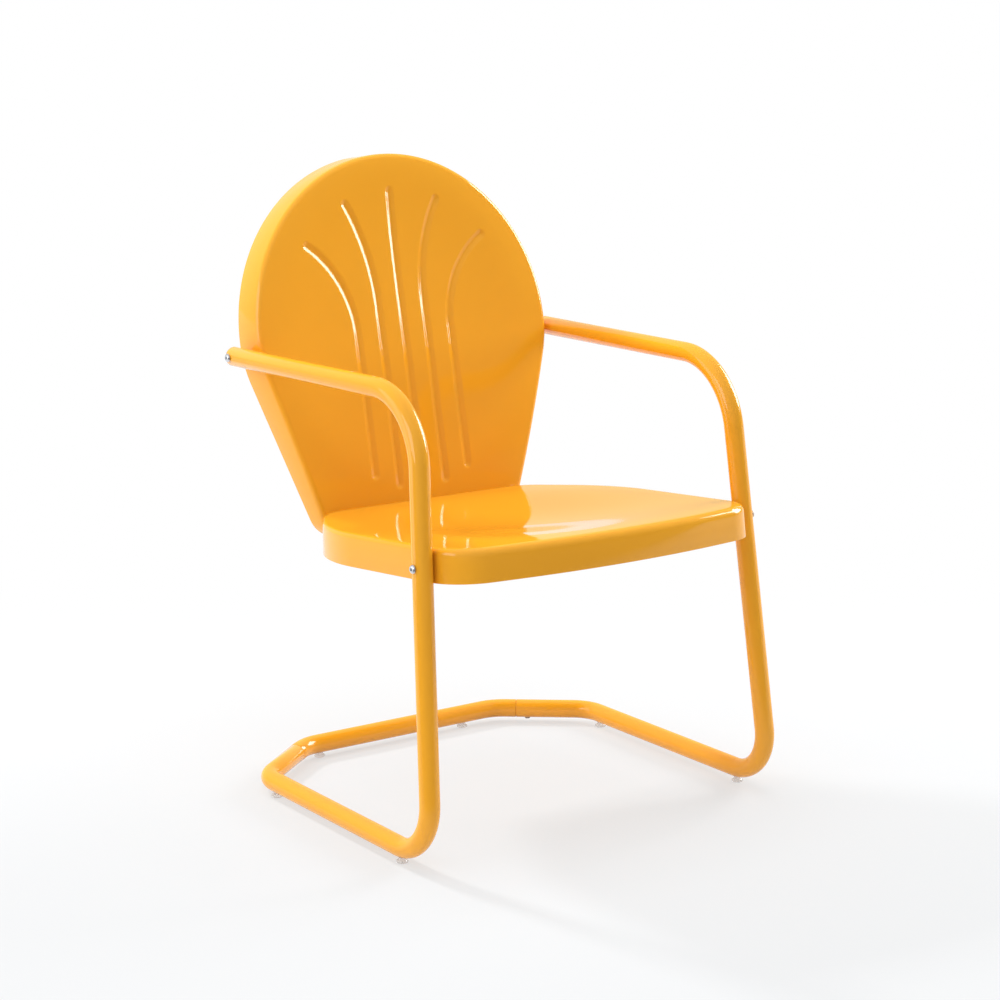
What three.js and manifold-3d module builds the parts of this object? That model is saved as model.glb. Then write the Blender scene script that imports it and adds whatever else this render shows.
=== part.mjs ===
// Retro metal spring lawn chair: a bent tube frame carries a pressed seat pan and a round back.
// Millimetres, +Z up. The chair faces -Y. Left and right are as seen from in front of it, so left
// is -X. The origin is on the floor, under the middle of the chair's width and depth.
import * as THREE from "three";
import { mergeVertices } from "three/addons/utils/BufferGeometryUtils.js";
import Module from "manifold-3d";

const wasm = await Module();
wasm.setup();

// Driving dimensions, with depths measured along Y from a datum under the middle of the seat
const MID_DEPTH = 35.85;
const GAP = 0.3;
const SIDES = [
  { name: "left", sign: -1 },
  { name: "right", sign: 1 },
];

const TUBE_RADIUS = 13.5;
const TUBE_WALL = 1.5;
const TUBE_FACETS = 7;
const FOOT_HEIGHT = 6.5;
const AXIS_HEIGHT = TUBE_RADIUS + FOOT_HEIGHT;
const ARM_END = new THREE.Vector3(266.5, 271.7, 601);
const ARM_CORNER = new THREE.Vector3(252.4, -165.9, 605.5);
const LEG_CORNER = new THREE.Vector3(283, -238, AXIS_HEIGHT);
const RUNNER_CORNER = new THREE.Vector3(283, 177, AXIS_HEIGHT);
const CROSS_CORNER = new THREE.Vector3(166, 267.6, AXIS_HEIGHT);
const ARM_BEND = 104;
const LEG_BEND = 66;
const RUNNER_BEND = 50;
const CROSS_BEND = 60;
const BEND_STEP = THREE.MathUtils.degToRad(15);
const SEAM_PAST_CORNER = 37;
const SPRING_CUT = 1;
const DRILL_REACH = 38;

const SHEET = 1.5;
const LONGEST_EDGE = 60;
const SHORTEST_EDGE = 0.5;
const CORNER_STEP = THREE.MathUtils.degToRad(10);
const FACE_RINGS = [0.25, 0.5, 0.75, 0.92];
const ROLL_STEPS = [0, 45, 90];
const SEAT_SLOPE = Math.atan(0.087);
const SEAT_HEIGHT = 398.2;
const SEAT_DEPTH = 44;
const SEAT_ROLL = 7;
const SEAT_DISH = { depth: 12, x: 0, y: -35, reachX: 238, reachY: 225, flatness: 1 };
const SEAT_FLARE = 1.6;
const SEAT_REAR = 202;
const SEAT_MIDDLE = -40;
const SEAT_CORNERS = [
  { x: 0, y: -281.4, radius: 1000 },
  { x: 248.8, y: -240.4, radius: 62 },
  { x: 251.6, y: 72, radius: 250 },
  { x: 169, y: SEAT_REAR, radius: 57 },
];

const BACK_RADIUS = 244.5;
const BACK_SIDE_RADIUS = 175.5;
const BACK_CENTRE_HEIGHT = 623.5;
const BACK_TAPER = THREE.MathUtils.degToRad(18);
const BACK_FOOT = 343;
const BACK_FOOT_CORNER = 36;
const BACK_ROLL = 8;
const BACK_DEPTH = 47.5;
const BACK_FLARE = 4;
const BACK_DISH = { depth: 9, x: 0, y: 624, reachX: 215, reachY: 232, flatness: 2 };
const BACK_LEAN = 0.2286;
const BACK_LEAN_TOP = 600;
const BACK_LEAN_DEPTH = 235.4;
const BACK_CURVE = 1500;

const RIB_RADIUS = 7.5;
const RIB_DEPTH = 3;
const RIB_STRAIGHT_STEPS = 3;
const RIB_BEND_STEPS = 4;
const GROOVE_SIDES = 8;
const BEAD_STEPS = 2;
const BEAD_SINK = 1.1;
const RIBS = [
  { x: 0, foot: 396, bend: 815, radius: 0, top: 815 },
  { x: 39, foot: 405, bend: 660, radius: 278, top: 799.5 },
  { x: 79, foot: 422, bend: 620, radius: 150, top: 746 },
];

const ROUND_SIDES = 10;
const BOLT_RADIUS = 3;
const HEAD_RADIUS = 6;
const HEAD_HEIGHT = 3.4;
const HEAD_ARC = [0, 35, 60];
const SOCKET_RADIUS = 2;
const SOCKET_FLOOR = 0.45;
const THREAD_END = 2;
const NUT_RADIUS = 5.7;
const NUT_HEIGHT = 5;
const WASHER_RADIUS = 8;
const WASHER_HEIGHT = 1.4;
const LEG_BOLT_HEIGHT = 392;
const ARM_BOLT_INSET = 7;
const SEAT_BOLT_X = [-110, 0, 110];
const SEAT_BOLT_NAMES = ["left", "middle", "right"];
const SEAT_BOLT_HEIGHT = 362;
const SEAT_BOLT_SLACK = 0.7;
const SEAT_FLANGE_X = 247.4;
const BACK_FLANGE_X = 242.8;
const BACK_FLANGE_SLACK = 1.1;
const SPACER_RADIUS = 7;
const SCREW_RADIUS = 2.1;
const SCREW_LENGTH = 8;
const SCREW_HEAD_RADIUS = 4.2;
const SCREW_HEAD_HEIGHT = 2.2;
const CAP_DOME = 3;
const CAP_ARC = [0, 25, 50, 90];
const CAP_PLUG = 12;
const SPIGOT_LENGTH = 34;
const SPIGOT_WALL = 1.5;
const SPIGOT_ROOT = 4;
const SPIGOT_SHOULDER = 1;
const FEET = [
  { name: "front_left", x: -LEG_CORNER.x, y: -170 },
  { name: "front_right", x: LEG_CORNER.x, y: -170 },
  { name: "side_left", x: -RUNNER_CORNER.x, y: 148 },
  { name: "side_right", x: RUNNER_CORNER.x, y: 148 },
  { name: "rear_left", x: -142, y: CROSS_CORNER.y },
  { name: "rear_right", x: 110, y: CROSS_CORNER.y },
];
const FOOT_RADIUS = 8;
const FOOT_FACE_RADIUS = 6.8;
const FOOT_EDGE = 1.4;
const FOOT_SKIRT = 3.2;
const FOOT_NECK_RADIUS = 4.8;
const STEM_RADIUS = 3.2;
const STEM_LENGTH = 6;

// Materials
const paint = new THREE.MeshStandardMaterial({ color: 0xeca035, roughness: 0.22, metalness: 0 });
const zinc = new THREE.MeshStandardMaterial({ color: 0xc9ccd0, roughness: 0.25, metalness: 1 });
const clearPlastic = new THREE.MeshStandardMaterial({
  color: 0xe9dcd2, roughness: 0.15, metalness: 0, transparent: true, opacity: 0.5,
});

const chair = new THREE.Group();
chair.position.y = -MID_DEPTH;

function add(name, geometry, material) {
  const mesh = new THREE.Mesh(geometry, material);
  mesh.name = name;
  chair.add(mesh);
  return mesh;
}

// Solids: conversion between three.js geometry and manifold for joins and cuts
function solid(geometry) {
  const bare = geometry.clone();
  bare.deleteAttribute("normal");
  bare.deleteAttribute("uv");
  const merged = mergeVertices(bare, 1e-4);
  const triVerts = new Uint32Array(merged.index.array);
  const vertProperties = new Float32Array(merged.attributes.position.array);
  return new wasm.Manifold(new wasm.Mesh({ numProp: 3, vertProperties, triVerts }));
}

function geometryOf(manifold) {
  const mesh = manifold.getMesh();
  const geometry = new THREE.BufferGeometry();
  geometry.setAttribute("position", new THREE.BufferAttribute(mesh.vertProperties, 3));
  geometry.setIndex(new THREE.BufferAttribute(mesh.triVerts, 1));
  geometry.computeVertexNormals();
  return geometry;
}

// A closed skin through rings of points of equal count, with a fan at each end. The points run
// counterclockwise seen from the first ring's side.
function loft(rings) {
  const count = rings[0].length;
  const points = rings.flat();
  const index = [];
  for (let ring = 0; ring < rings.length - 1; ring++) {
    for (let i = 0; i < count; i++) {
      const a = ring * count + i;
      const b = ring * count + ((i + 1) % count);
      index.push(a, b + count, b, a, a + count, b + count);
    }
  }
  for (const [ring, turn] of [[0, false], [rings.length - 1, true]]) {
    const centre = new THREE.Vector3();
    rings[ring].forEach((point) => centre.addScaledVector(point, 1 / count));
    points.push(centre);
    for (let i = 0; i < count; i++) {
      const a = ring * count + i;
      const b = ring * count + ((i + 1) % count);
      index.push(...(turn ? [b, a, points.length - 1] : [a, b, points.length - 1]));
    }
  }
  const geometry = new THREE.BufferGeometry().setFromPoints(points);
  geometry.setIndex(index);
  geometry.computeVertexNormals();
  return geometry;
}

// Bent tubes: a centreline with straight runs in one step and bends in equal small steps
class BentPath extends THREE.Curve {
  constructor(stations) {
    super();
    this.stations = stations;
  }

  getPoint(t, target = new THREE.Vector3()) {
    const place = t * (this.stations.length - 1);
    const index = Math.min(Math.floor(place), this.stations.length - 2);
    const [from, to] = [this.stations[index].point, this.stations[index + 1].point];
    return target.lerpVectors(from, to, place - index);
  }

  getPointAt(u, target) {
    return this.getPoint(u, target);
  }

  getTangentAt(u, target = new THREE.Vector3()) {
    return target.copy(this.stations[Math.round(u * (this.stations.length - 1))].direction);
  }
}

function bendStations(before, corner, after, radius) {
  const into = corner.clone().sub(before).normalize();
  const out = after.clone().sub(corner).normalize();
  const turn = into.angleTo(out);
  const start = corner.clone().addScaledVector(into, -radius * Math.tan(turn / 2));
  const inward = out.clone().addScaledVector(into, -out.dot(into)).normalize();
  const steps = 2 * Math.ceil(turn / BEND_STEP / 2);
  const stations = [];
  for (let i = 0; i <= steps; i++) {
    const angle = (turn * i) / steps;
    const point = start.clone().addScaledVector(into, radius * Math.sin(angle));
    point.addScaledVector(inward, radius * (1 - Math.cos(angle)));
    const direction = into.clone().multiplyScalar(Math.cos(angle));
    direction.addScaledVector(inward, Math.sin(angle));
    stations.push({ point, direction });
  }
  return stations;
}

function route(corners, radii) {
  const last = corners.length - 1;
  const direction = corners[1].clone().sub(corners[0]).normalize();
  const stations = [{ point: corners[0].clone(), direction }];
  const bends = [];
  for (let i = 1; i < last; i++) {
    const bend = bendStations(corners[i - 1], corners[i], corners[i + 1], radii[i - 1]);
    bends.push({ first: stations.length, middle: stations.length + (bend.length - 1) / 2 });
    stations.push(...bend);
  }
  const end = corners[last].clone().sub(corners[last - 1]).normalize();
  stations.push({ point: corners[last].clone(), direction: end });
  return { stations, bends };
}

function trimmed(station, distance) {
  const { point, direction } = station;
  return { point: point.clone().addScaledVector(direction, distance), direction };
}

function disc(radius, hole = 0) {
  const shape = new THREE.Shape();
  shape.absarc(0, 0, radius, 0, 2 * Math.PI);
  if (hole > 0) {
    const inner = new THREE.Path();
    inner.absarc(0, 0, hole, 0, 2 * Math.PI, true);
    shape.holes.push(inner);
  }
  return shape;
}

function hollowTube(stations) {
  return new THREE.ExtrudeGeometry(disc(TUBE_RADIUS, TUBE_RADIUS - TUBE_WALL), {
    steps: stations.length - 1, curveSegments: TUBE_FACETS, extrudePath: new BentPath(stations),
  });
}

function lathe(profile, sides) {
  return new THREE.LatheGeometry(profile.map(([x, y]) => new THREE.Vector2(x, y)), sides);
}

function dome(radius, base, height, steps) {
  const last = Math.sin(THREE.MathUtils.degToRad(steps.at(-1)));
  return steps.map((degrees) => {
    const angle = THREE.MathUtils.degToRad(degrees);
    return [radius * Math.cos(angle), base + ((height - base) * Math.sin(angle)) / last];
  });
}

function mirrored(point, sign) {
  return new THREE.Vector3(point.x * sign, point.y, point.z);
}

// Cylinders and drilled holes, laid from one point along a direction
function aimed(geometry, from, direction) {
  const turn = new THREE.Quaternion().setFromUnitVectors(new THREE.Vector3(0, 1, 0), direction);
  return geometry.applyQuaternion(turn).translate(from.x, from.y, from.z);
}

function drill(from, direction, length, radius) {
  const cylinder = new THREE.CylinderGeometry(radius, radius, length, ROUND_SIDES);
  return solid(aimed(cylinder.translate(0, length / 2, 0), from, direction));
}

function drilled(geometry, holes) {
  let body = solid(geometry);
  for (const hole of holes) {
    body = body.subtract(hole);
  }
  return geometryOf(body);
}

// Side tubes: arm and leg above the cut in the front floor bend, floor runner behind it
function seamPoint(sign) {
  const along = RUNNER_CORNER.clone().sub(CROSS_CORNER).setLength(SEAM_PAST_CORNER);
  return mirrored(CROSS_CORNER.clone().add(along), sign);
}

function sideRoute(sign) {
  const corners = [ARM_END, ARM_CORNER, LEG_CORNER, RUNNER_CORNER].map((p) => mirrored(p, sign));
  return route([...corners, seamPoint(sign)], [ARM_BEND, LEG_BEND, RUNNER_BEND]);
}

function sideHalves(sign) {
  const { stations, bends } = sideRoute(sign);
  const middle = bends[1].middle;
  const upper = [...stations.slice(0, middle), trimmed(stations[middle], -SPRING_CUT / 2)];
  const lower = [trimmed(stations[middle], SPRING_CUT / 2), ...stations.slice(middle + 1)];
  return { upper, lower, cut: stations[middle].point };
}

function legAxisAt(height, sign) {
  const share = (ARM_CORNER.z - height) / (ARM_CORNER.z - LEG_CORNER.z);
  return mirrored(new THREE.Vector3().lerpVectors(ARM_CORNER, LEG_CORNER, share), sign);
}

function armBoltPoint(sign) {
  const along = ARM_CORNER.clone().sub(ARM_END).setLength(ARM_BOLT_INSET);
  return mirrored(ARM_END.clone().add(along), sign);
}

function outward(sign) {
  return new THREE.Vector3(sign, 0, 0);
}

function crossHole(centre, sign) {
  const start = centre.clone().addScaledVector(outward(sign), -DRILL_REACH);
  return drill(start, outward(sign), 2 * DRILL_REACH, BOLT_RADIUS + GAP);
}

function stemHole(foot) {
  const start = new THREE.Vector3(foot.x, foot.y, 0);
  return drill(start, new THREE.Vector3(0, 0, 1), AXIS_HEIGHT, STEM_RADIUS + GAP);
}

function jointScrewPoint(sign) {
  const past = SEAM_PAST_CORNER + SPIGOT_LENGTH / 2;
  const along = RUNNER_CORNER.clone().sub(CROSS_CORNER).setLength(past);
  return mirrored(CROSS_CORNER.clone().add(along), sign);
}

function screwHole(sign) {
  const start = jointScrewPoint(sign).setZ(0);
  return drill(start, new THREE.Vector3(0, 0, 1), AXIS_HEIGHT, SCREW_RADIUS + GAP);
}

function addSideTubes() {
  for (const { name, sign } of SIDES) {
    const { upper, lower } = sideHalves(sign);
    const boltPoints = [legAxisAt(LEG_BOLT_HEIGHT, sign), armBoltPoint(sign)];
    const boltHoles = boltPoints.map((point) => crossHole(point, sign));
    add(`${name}_arm_leg_tube`, drilled(hollowTube(upper), boltHoles), paint);
    const stemHoles = FEET.slice(0, 4).filter((foot) => foot.x * sign > 0).map(stemHole);
    add(`${name}_floor_runner`, drilled(hollowTube(lower), [...stemHoles, screwHole(sign)]), paint);
  }
}

// Rear cross tube with both ends bent and drawn down to slip inside the runners
function spigot(sign) {
  const bore = TUBE_RADIUS - TUBE_WALL;
  const outer = bore - GAP;
  const inner = outer - SPIGOT_WALL;
  const root = TUBE_RADIUS - 2 * GAP;
  const turned = lathe([
    [inner, -SPIGOT_ROOT], [root, -SPIGOT_ROOT], [root, -SPIGOT_SHOULDER], [outer, -SPIGOT_SHOULDER],
    [outer, SPIGOT_LENGTH], [inner, SPIGOT_LENGTH], [inner, -SPIGOT_ROOT],
  ], 2 * TUBE_FACETS);
  const along = mirrored(RUNNER_CORNER, sign).sub(mirrored(CROSS_CORNER, sign)).normalize();
  return solid(aimed(turned, seamPoint(sign), along));
}

function addCrossTube() {
  const ends = [seamPoint(-1), mirrored(CROSS_CORNER, -1), CROSS_CORNER, seamPoint(1)];
  const { stations } = route(ends, [CROSS_BEND, CROSS_BEND]);
  stations[0] = trimmed(stations[0], GAP);
  stations[stations.length - 1] = trimmed(stations[stations.length - 1], -GAP);
  let body = solid(hollowTube(stations));
  for (const { sign } of SIDES) {
    body = body.add(spigot(sign)).subtract(screwHole(sign));
  }
  for (const foot of FEET.slice(4)) {
    body = body.subtract(stemHole(foot));
  }
  add("rear_cross_tube", geometryOf(body), paint);
}

// Pressed shells: an outline with rounded corners, a dished face, a rolled rim and a flange
function roundedOutline(corners) {
  const points = [];
  corners.forEach((corner, i) => {
    const before = corners[(i + corners.length - 1) % corners.length];
    const after = corners[(i + 1) % corners.length];
    const at = new THREE.Vector2(corner.x, corner.y);
    const into = new THREE.Vector2(corner.x - before.x, corner.y - before.y).normalize();
    const out = new THREE.Vector2(after.x - corner.x, after.y - corner.y).normalize();
    const turn = Math.acos(into.dot(out));
    const start = at.clone().addScaledVector(into, -corner.radius * Math.tan(turn / 2));
    const inward = new THREE.Vector2(-into.y, into.x);
    const fewest = Math.max(2, Math.ceil((turn * corner.radius) / LONGEST_EDGE));
    const steps = Math.max(fewest, Math.ceil(turn / CORNER_STEP));
    for (let k = 0; k <= steps; k++) {
      const angle = (turn * k) / steps;
      const point = start.clone().addScaledVector(into, corner.radius * Math.sin(angle));
      points.push(point.addScaledVector(inward, corner.radius * (1 - Math.cos(angle))));
    }
  });
  const apart = points.filter((p, i) => p.distanceTo(points.at(i - 1)) > SHORTEST_EDGE);
  return apart.flatMap((p, i) => {
    const after = apart[(i + 1) % apart.length];
    const pieces = Math.ceil(p.distanceTo(after) / LONGEST_EDGE);
    return Array.from({ length: pieces }, (_, k) => p.clone().lerp(after, k / pieces));
  });
}

function outwardNormals(outline) {
  return outline.map((_, i) => {
    const before = outline[(i + outline.length - 1) % outline.length];
    const after = outline[(i + 1) % outline.length];
    return new THREE.Vector2(after.y - before.y, before.x - after.x).normalize();
  });
}

function pressedShell({ outline, centre, roll, depth, flare, dish, place }) {
  const normals = outwardNormals(outline);
  const inset = (distance) => outline.map((p, i) => p.clone().addScaledVector(normals[i], -distance));
  const faceRim = inset(roll);
  const face = (below) => FACE_RINGS.map((share) => faceRim.map((p) => {
    const flat = centre.clone().lerp(p, share);
    return place(flat, dish(flat) + below);
  }));
  const rim = (radius, below) => ROLL_STEPS.map((degrees) => {
    const angle = THREE.MathUtils.degToRad(degrees);
    const down = below + radius * (1 - Math.cos(angle));
    return inset(roll - radius * Math.sin(angle)).map((p) => place(p, down));
  });
  const lip = (below) => outline.map((p, i) => {
    return place(p.clone().addScaledVector(normals[i], flare(normals[i]) - below), depth(p));
  });
  const show = [...face(0), ...rim(roll, 0), lip(0)];
  const hidden = [...face(SHEET), ...rim(roll - SHEET, SHEET), lip(SHEET)];
  return loft([...show, ...hidden.reverse()]);
}

function bowl({ depth, x, y, reachX, reachY, flatness }) {
  return (flat) => {
    const far = ((flat.x - x) / reachX) ** 2 + ((flat.y - y) / reachY) ** 2;
    return far < 1 ? depth * (1 - far ** flatness) ** 2 : 0;
  };
}

// Seat pan: dished, tilted down to the rear, its rear edge up against the back
function symmetric(half) {
  const inner = half.filter((corner) => corner.x > 0);
  const middle = half.filter((corner) => corner.x === 0);
  const other = inner.map((corner) => ({ ...corner, x: -corner.x })).reverse();
  return [...middle, ...inner, ...other];
}

function seatShell() {
  const outline = roundedOutline(symmetric(SEAT_CORNERS));
  return pressedShell({
    outline,
    centre: new THREE.Vector2(0, SEAT_MIDDLE),
    roll: SEAT_ROLL,
    depth: () => SEAT_DEPTH,
    flare: (normal) => (normal.y > 0.5 ? 0 : SEAT_FLARE),
    dish: bowl(SEAT_DISH),
    place: (flat, below) => new THREE.Vector3(flat.x, flat.y, -below),
  });
}

function seatBoltHole(x) {
  const start = new THREE.Vector3(x, SEAT_REAR - DRILL_REACH, SEAT_BOLT_HEIGHT);
  return drill(start, new THREE.Vector3(0, 1, 0), 2 * DRILL_REACH, BOLT_RADIUS + GAP);
}

function addSeat() {
  const shell = seatShell().rotateX(-SEAT_SLOPE).translate(0, 0, SEAT_HEIGHT);
  const legHoles = SIDES.map(({ sign }) => crossHole(legAxisAt(LEG_BOLT_HEIGHT, sign), sign));
  add("seat_shell", drilled(shell, [...legHoles, ...SEAT_BOLT_X.map(seatBoltHole)]), paint);
}

// Back shell: round above, tapering below, leaning back, with a fan of stamped grooves
function backCurveLift(height) {
  const drop = Math.max(BACK_LEAN_TOP - height, 0);
  return drop ** 2 / (2 * BACK_CURVE);
}

function backFaceDepth(height) {
  return BACK_LEAN_DEPTH - BACK_LEAN * (BACK_LEAN_TOP - height) + backCurveLift(height);
}

function backPlace(flat, below) {
  const rise = 1;
  const slope = (backFaceDepth(flat.y + rise) - backFaceDepth(flat.y - rise)) / (2 * rise);
  const rear = new THREE.Vector3(0, 1, -slope).normalize();
  return new THREE.Vector3(flat.x, backFaceDepth(flat.y), flat.y).addScaledVector(rear, below);
}

function backOutline() {
  const arcCorner = (radius, lowest, highest) => {
    const middle = (lowest + highest) / 2;
    const reach = radius / Math.cos(highest - middle);
    const x = BACK_RADIUS - radius + reach * Math.cos(middle);
    return { x, y: BACK_CENTRE_HEIGHT + reach * Math.sin(middle), radius };
  };
  const side = arcCorner(BACK_SIDE_RADIUS, -BACK_TAPER, 0);
  const shoulder = arcCorner(BACK_RADIUS, 0, Math.PI / 4);
  const upper = arcCorner(BACK_RADIUS, Math.PI / 4, Math.PI / 2);
  const tangentX = BACK_RADIUS - BACK_SIDE_RADIUS * (1 - Math.cos(BACK_TAPER));
  const tangentY = BACK_CENTRE_HEIGHT - BACK_SIDE_RADIUS * Math.sin(BACK_TAPER);
  const footX = tangentX - (tangentY - BACK_FOOT) * Math.tan(BACK_TAPER);
  const foot = { x: footX, y: BACK_FOOT, radius: BACK_FOOT_CORNER };
  return roundedOutline(symmetric([foot, side, shoulder, upper]));
}

function ribPath({ x, foot, bend, radius, top }) {
  const points = [];
  for (let i = 0; i <= RIB_STRAIGHT_STEPS; i++) {
    points.push(new THREE.Vector2(x, THREE.MathUtils.lerp(foot, bend, i / RIB_STRAIGHT_STEPS)));
  }
  const turn = radius > 0 ? Math.asin((top - bend) / radius) : 0;
  for (let i = 1; turn > 0 && i <= RIB_BEND_STEPS; i++) {
    const angle = (turn * i) / RIB_BEND_STEPS;
    const sideways = radius * (1 - Math.cos(angle));
    points.push(new THREE.Vector2(x + sideways, bend + radius * Math.sin(angle)));
  }
  return points;
}

function ribSweep(path, section) {
  const dish = bowl(BACK_DISH);
  return solid(loft(path.map((p, i) => {
    const before = path[Math.max(i - 1, 0)];
    const after = path[Math.min(i + 1, path.length - 1)];
    const across = new THREE.Vector2(after.y - before.y, before.x - after.x).normalize();
    return section.map(([side, depth]) => {
      return backPlace(p.clone().addScaledVector(across, side), dish(p) + depth);
    });
  })));
}

function grooveSection() {
  return Array.from({ length: GROOVE_SIDES }, (_, i) => {
    const angle = (2 * Math.PI * i) / GROOVE_SIDES;
    return [RIB_RADIUS * Math.sin(angle), RIB_DEPTH - RIB_RADIUS + RIB_RADIUS * Math.cos(angle)];
  });
}

function beadSection() {
  const radius = RIB_RADIUS + SHEET;
  const centre = RIB_DEPTH - RIB_RADIUS;
  const half = Math.acos((BEAD_SINK - centre) / radius);
  return Array.from({ length: 2 * BEAD_STEPS + 1 }, (_, i) => {
    const angle = half * (i / BEAD_STEPS - 1);
    return [radius * Math.sin(angle), centre + radius * Math.cos(angle)];
  });
}

function pressRibs(geometry) {
  const mirror = (path) => path.map((p) => new THREE.Vector2(-p.x, p.y));
  const paths = RIBS.map(ribPath);
  const all = [...paths, ...paths.slice(1).map(mirror)];
  let body = solid(geometry);
  for (const path of all) {
    body = body.add(ribSweep(path, beadSection()));
  }
  for (const path of all) {
    body = body.subtract(ribSweep(path, grooveSection()));
  }
  return geometryOf(body);
}

function addBack() {
  const shell = pressedShell({
    outline: backOutline(),
    centre: new THREE.Vector2(0, BACK_CENTRE_HEIGHT),
    roll: BACK_ROLL,
    depth: (flat) => BACK_DEPTH - backCurveLift(flat.y),
    flare: () => BACK_FLARE,
    dish: bowl(BACK_DISH),
    place: backPlace,
  });
  const armHoles = SIDES.map(({ sign }) => crossHole(armBoltPoint(sign), sign));
  const holes = [...armHoles, ...SEAT_BOLT_X.map(seatBoltHole)];
  add("back_shell", drilled(pressRibs(shell), holes), paint);
}

// Fasteners: button head bolts with a socket, nuts, washers, spacers and joint screws
function bolt(length, radius, headRadius, headHeight) {
  return lathe([
    [0, -length], [radius, -length], [radius, 0],
    ...dome(headRadius, 0, headHeight, HEAD_ARC),
    [SOCKET_RADIUS, headHeight], [SOCKET_RADIUS, SOCKET_FLOOR * headHeight],
    [0, SOCKET_FLOOR * headHeight],
  ], ROUND_SIDES);
}

function raised(shape, height) {
  const settings = { depth: height, bevelEnabled: false, curveSegments: ROUND_SIDES / 2 };
  return new THREE.ExtrudeGeometry(shape, settings).rotateX(-Math.PI / 2);
}

function boltRing(radius, height) {
  return raised(disc(radius, BOLT_RADIUS + GAP), height);
}

function nut() {
  const corners = Array.from({ length: 6 }, (_, i) => {
    const angle = (i * Math.PI) / 3;
    return new THREE.Vector2(NUT_RADIUS * Math.cos(angle), NUT_RADIUS * Math.sin(angle));
  });
  const shape = new THREE.Shape(corners);
  shape.holes.push(...disc(NUT_RADIUS, BOLT_RADIUS + GAP).holes);
  return raised(shape, NUT_HEIGHT);
}

function addFastening(name, head, direction, grip) {
  const behind = (distance) => head.clone().addScaledVector(direction, -distance);
  const washerAt = grip + WASHER_HEIGHT;
  const nutAt = washerAt + GAP + NUT_HEIGHT;
  const boltShape = bolt(nutAt + THREAD_END, BOLT_RADIUS, HEAD_RADIUS, HEAD_HEIGHT);
  const washer = boltRing(WASHER_RADIUS, WASHER_HEIGHT);
  add(`${name}_bolt`, aimed(boltShape, head, direction), zinc);
  add(`${name}_washer`, aimed(washer, behind(washerAt), direction), zinc);
  add(`${name}_nut`, aimed(nut(), behind(nutAt), direction), zinc);
}

function addTubeFastening(name, axisPoint, sign, flangeX) {
  const reach = TUBE_RADIUS + GAP;
  const head = axisPoint.clone().addScaledVector(outward(sign), reach);
  addFastening(name, head, outward(sign), Math.abs(head.x) - flangeX);
}

function addSideFastenings() {
  for (const { name, sign } of SIDES) {
    const arm = armBoltPoint(sign);
    addTubeFastening(`${name}_leg`, legAxisAt(LEG_BOLT_HEIGHT, sign), sign, SEAT_FLANGE_X);
    addTubeFastening(`${name}_arm`, arm, sign, BACK_FLANGE_X);
    const inner = BACK_FLANGE_X + SHEET + 2 * BACK_FLANGE_SLACK;
    const spacer = boltRing(SPACER_RADIUS, Math.abs(arm.x) - TUBE_RADIUS - GAP - inner);
    add(`${name}_arm_spacer`, aimed(spacer, arm.setX(inner * sign), outward(sign)), paint);
  }
}

function addSeatFastenings() {
  const rear = new THREE.Vector3(0, 1, 0);
  SEAT_BOLT_X.forEach((x, i) => {
    const face = backFaceDepth(SEAT_BOLT_HEIGHT) + SHEET;
    const head = new THREE.Vector3(x, face + SEAT_BOLT_SLACK, SEAT_BOLT_HEIGHT);
    addFastening(`seat_back_${SEAT_BOLT_NAMES[i]}`, head, rear, 2 * SHEET + 3 * SEAT_BOLT_SLACK);
  });
}

function addJointScrews() {
  const down = new THREE.Vector3(0, 0, -1);
  for (const { name, sign } of SIDES) {
    const head = jointScrewPoint(sign).setZ(FOOT_HEIGHT - GAP);
    const screw = bolt(SCREW_LENGTH, SCREW_RADIUS, SCREW_HEAD_RADIUS, SCREW_HEAD_HEIGHT);
    add(`${name}_joint_screw`, aimed(screw, head, down), zinc);
  }
}

// Closing caps in the arms' rear ends, held by the arm bolts
function addArmCaps() {
  const plug = TUBE_RADIUS - TUBE_WALL - 2 * GAP;
  const crown = dome(TUBE_RADIUS, GAP, CAP_DOME, CAP_ARC);
  for (const { name, sign } of SIDES) {
    const along = mirrored(ARM_END, sign).sub(mirrored(ARM_CORNER, sign)).normalize();
    const turned = lathe([[0, -CAP_PLUG], [plug, -CAP_PLUG], [plug, GAP], ...crown], 2 * TUBE_FACETS);
    const cap = aimed(turned, mirrored(ARM_END, sign), along);
    add(`${name}_arm_cap`, drilled(cap, [crossHole(armBoltPoint(sign), sign)]), paint);
  }
}

// Clear foot glides with a stem up into the tube
function addFeet() {
  const top = FOOT_HEIGHT - GAP;
  const profile = [
    [0, 0], [FOOT_FACE_RADIUS, 0], [FOOT_RADIUS, FOOT_EDGE], [FOOT_RADIUS, FOOT_SKIRT],
    [FOOT_NECK_RADIUS, top], [STEM_RADIUS, top], [STEM_RADIUS, top + STEM_LENGTH],
    [0, top + STEM_LENGTH],
  ];
  for (const { name, x, y } of FEET) {
    const glide = add(`${name}_foot_glide`, lathe(profile, ROUND_SIDES), clearPlastic);
    glide.rotation.x = Math.PI / 2;
    glide.position.set(x, y, 0);
  }
}

addSideTubes();
addCrossTube();
addSeat();
addBack();
addSideFastenings();
addSeatFastenings();
addJointScrews();
addArmCaps();
addFeet();

export default chair;
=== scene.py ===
# %% [markdown]
# # A retro metal spring lawn chair
# Two bent steel tubes carry a pressed seat pan and a round pressed back. Each tube is arm, leg,
# floor runner and rear corner in one, and its front floor bend is the spring. Everything wears
# one glossy orange-yellow powder coat, apart from zinc bolts and clear foot glides.
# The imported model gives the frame: sizes, places and bodies. Every visible piece is modelled
# here again with fine bends, rolled rims and real sheet thickness, in the same place.

# %% Load the frame
import math

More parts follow.
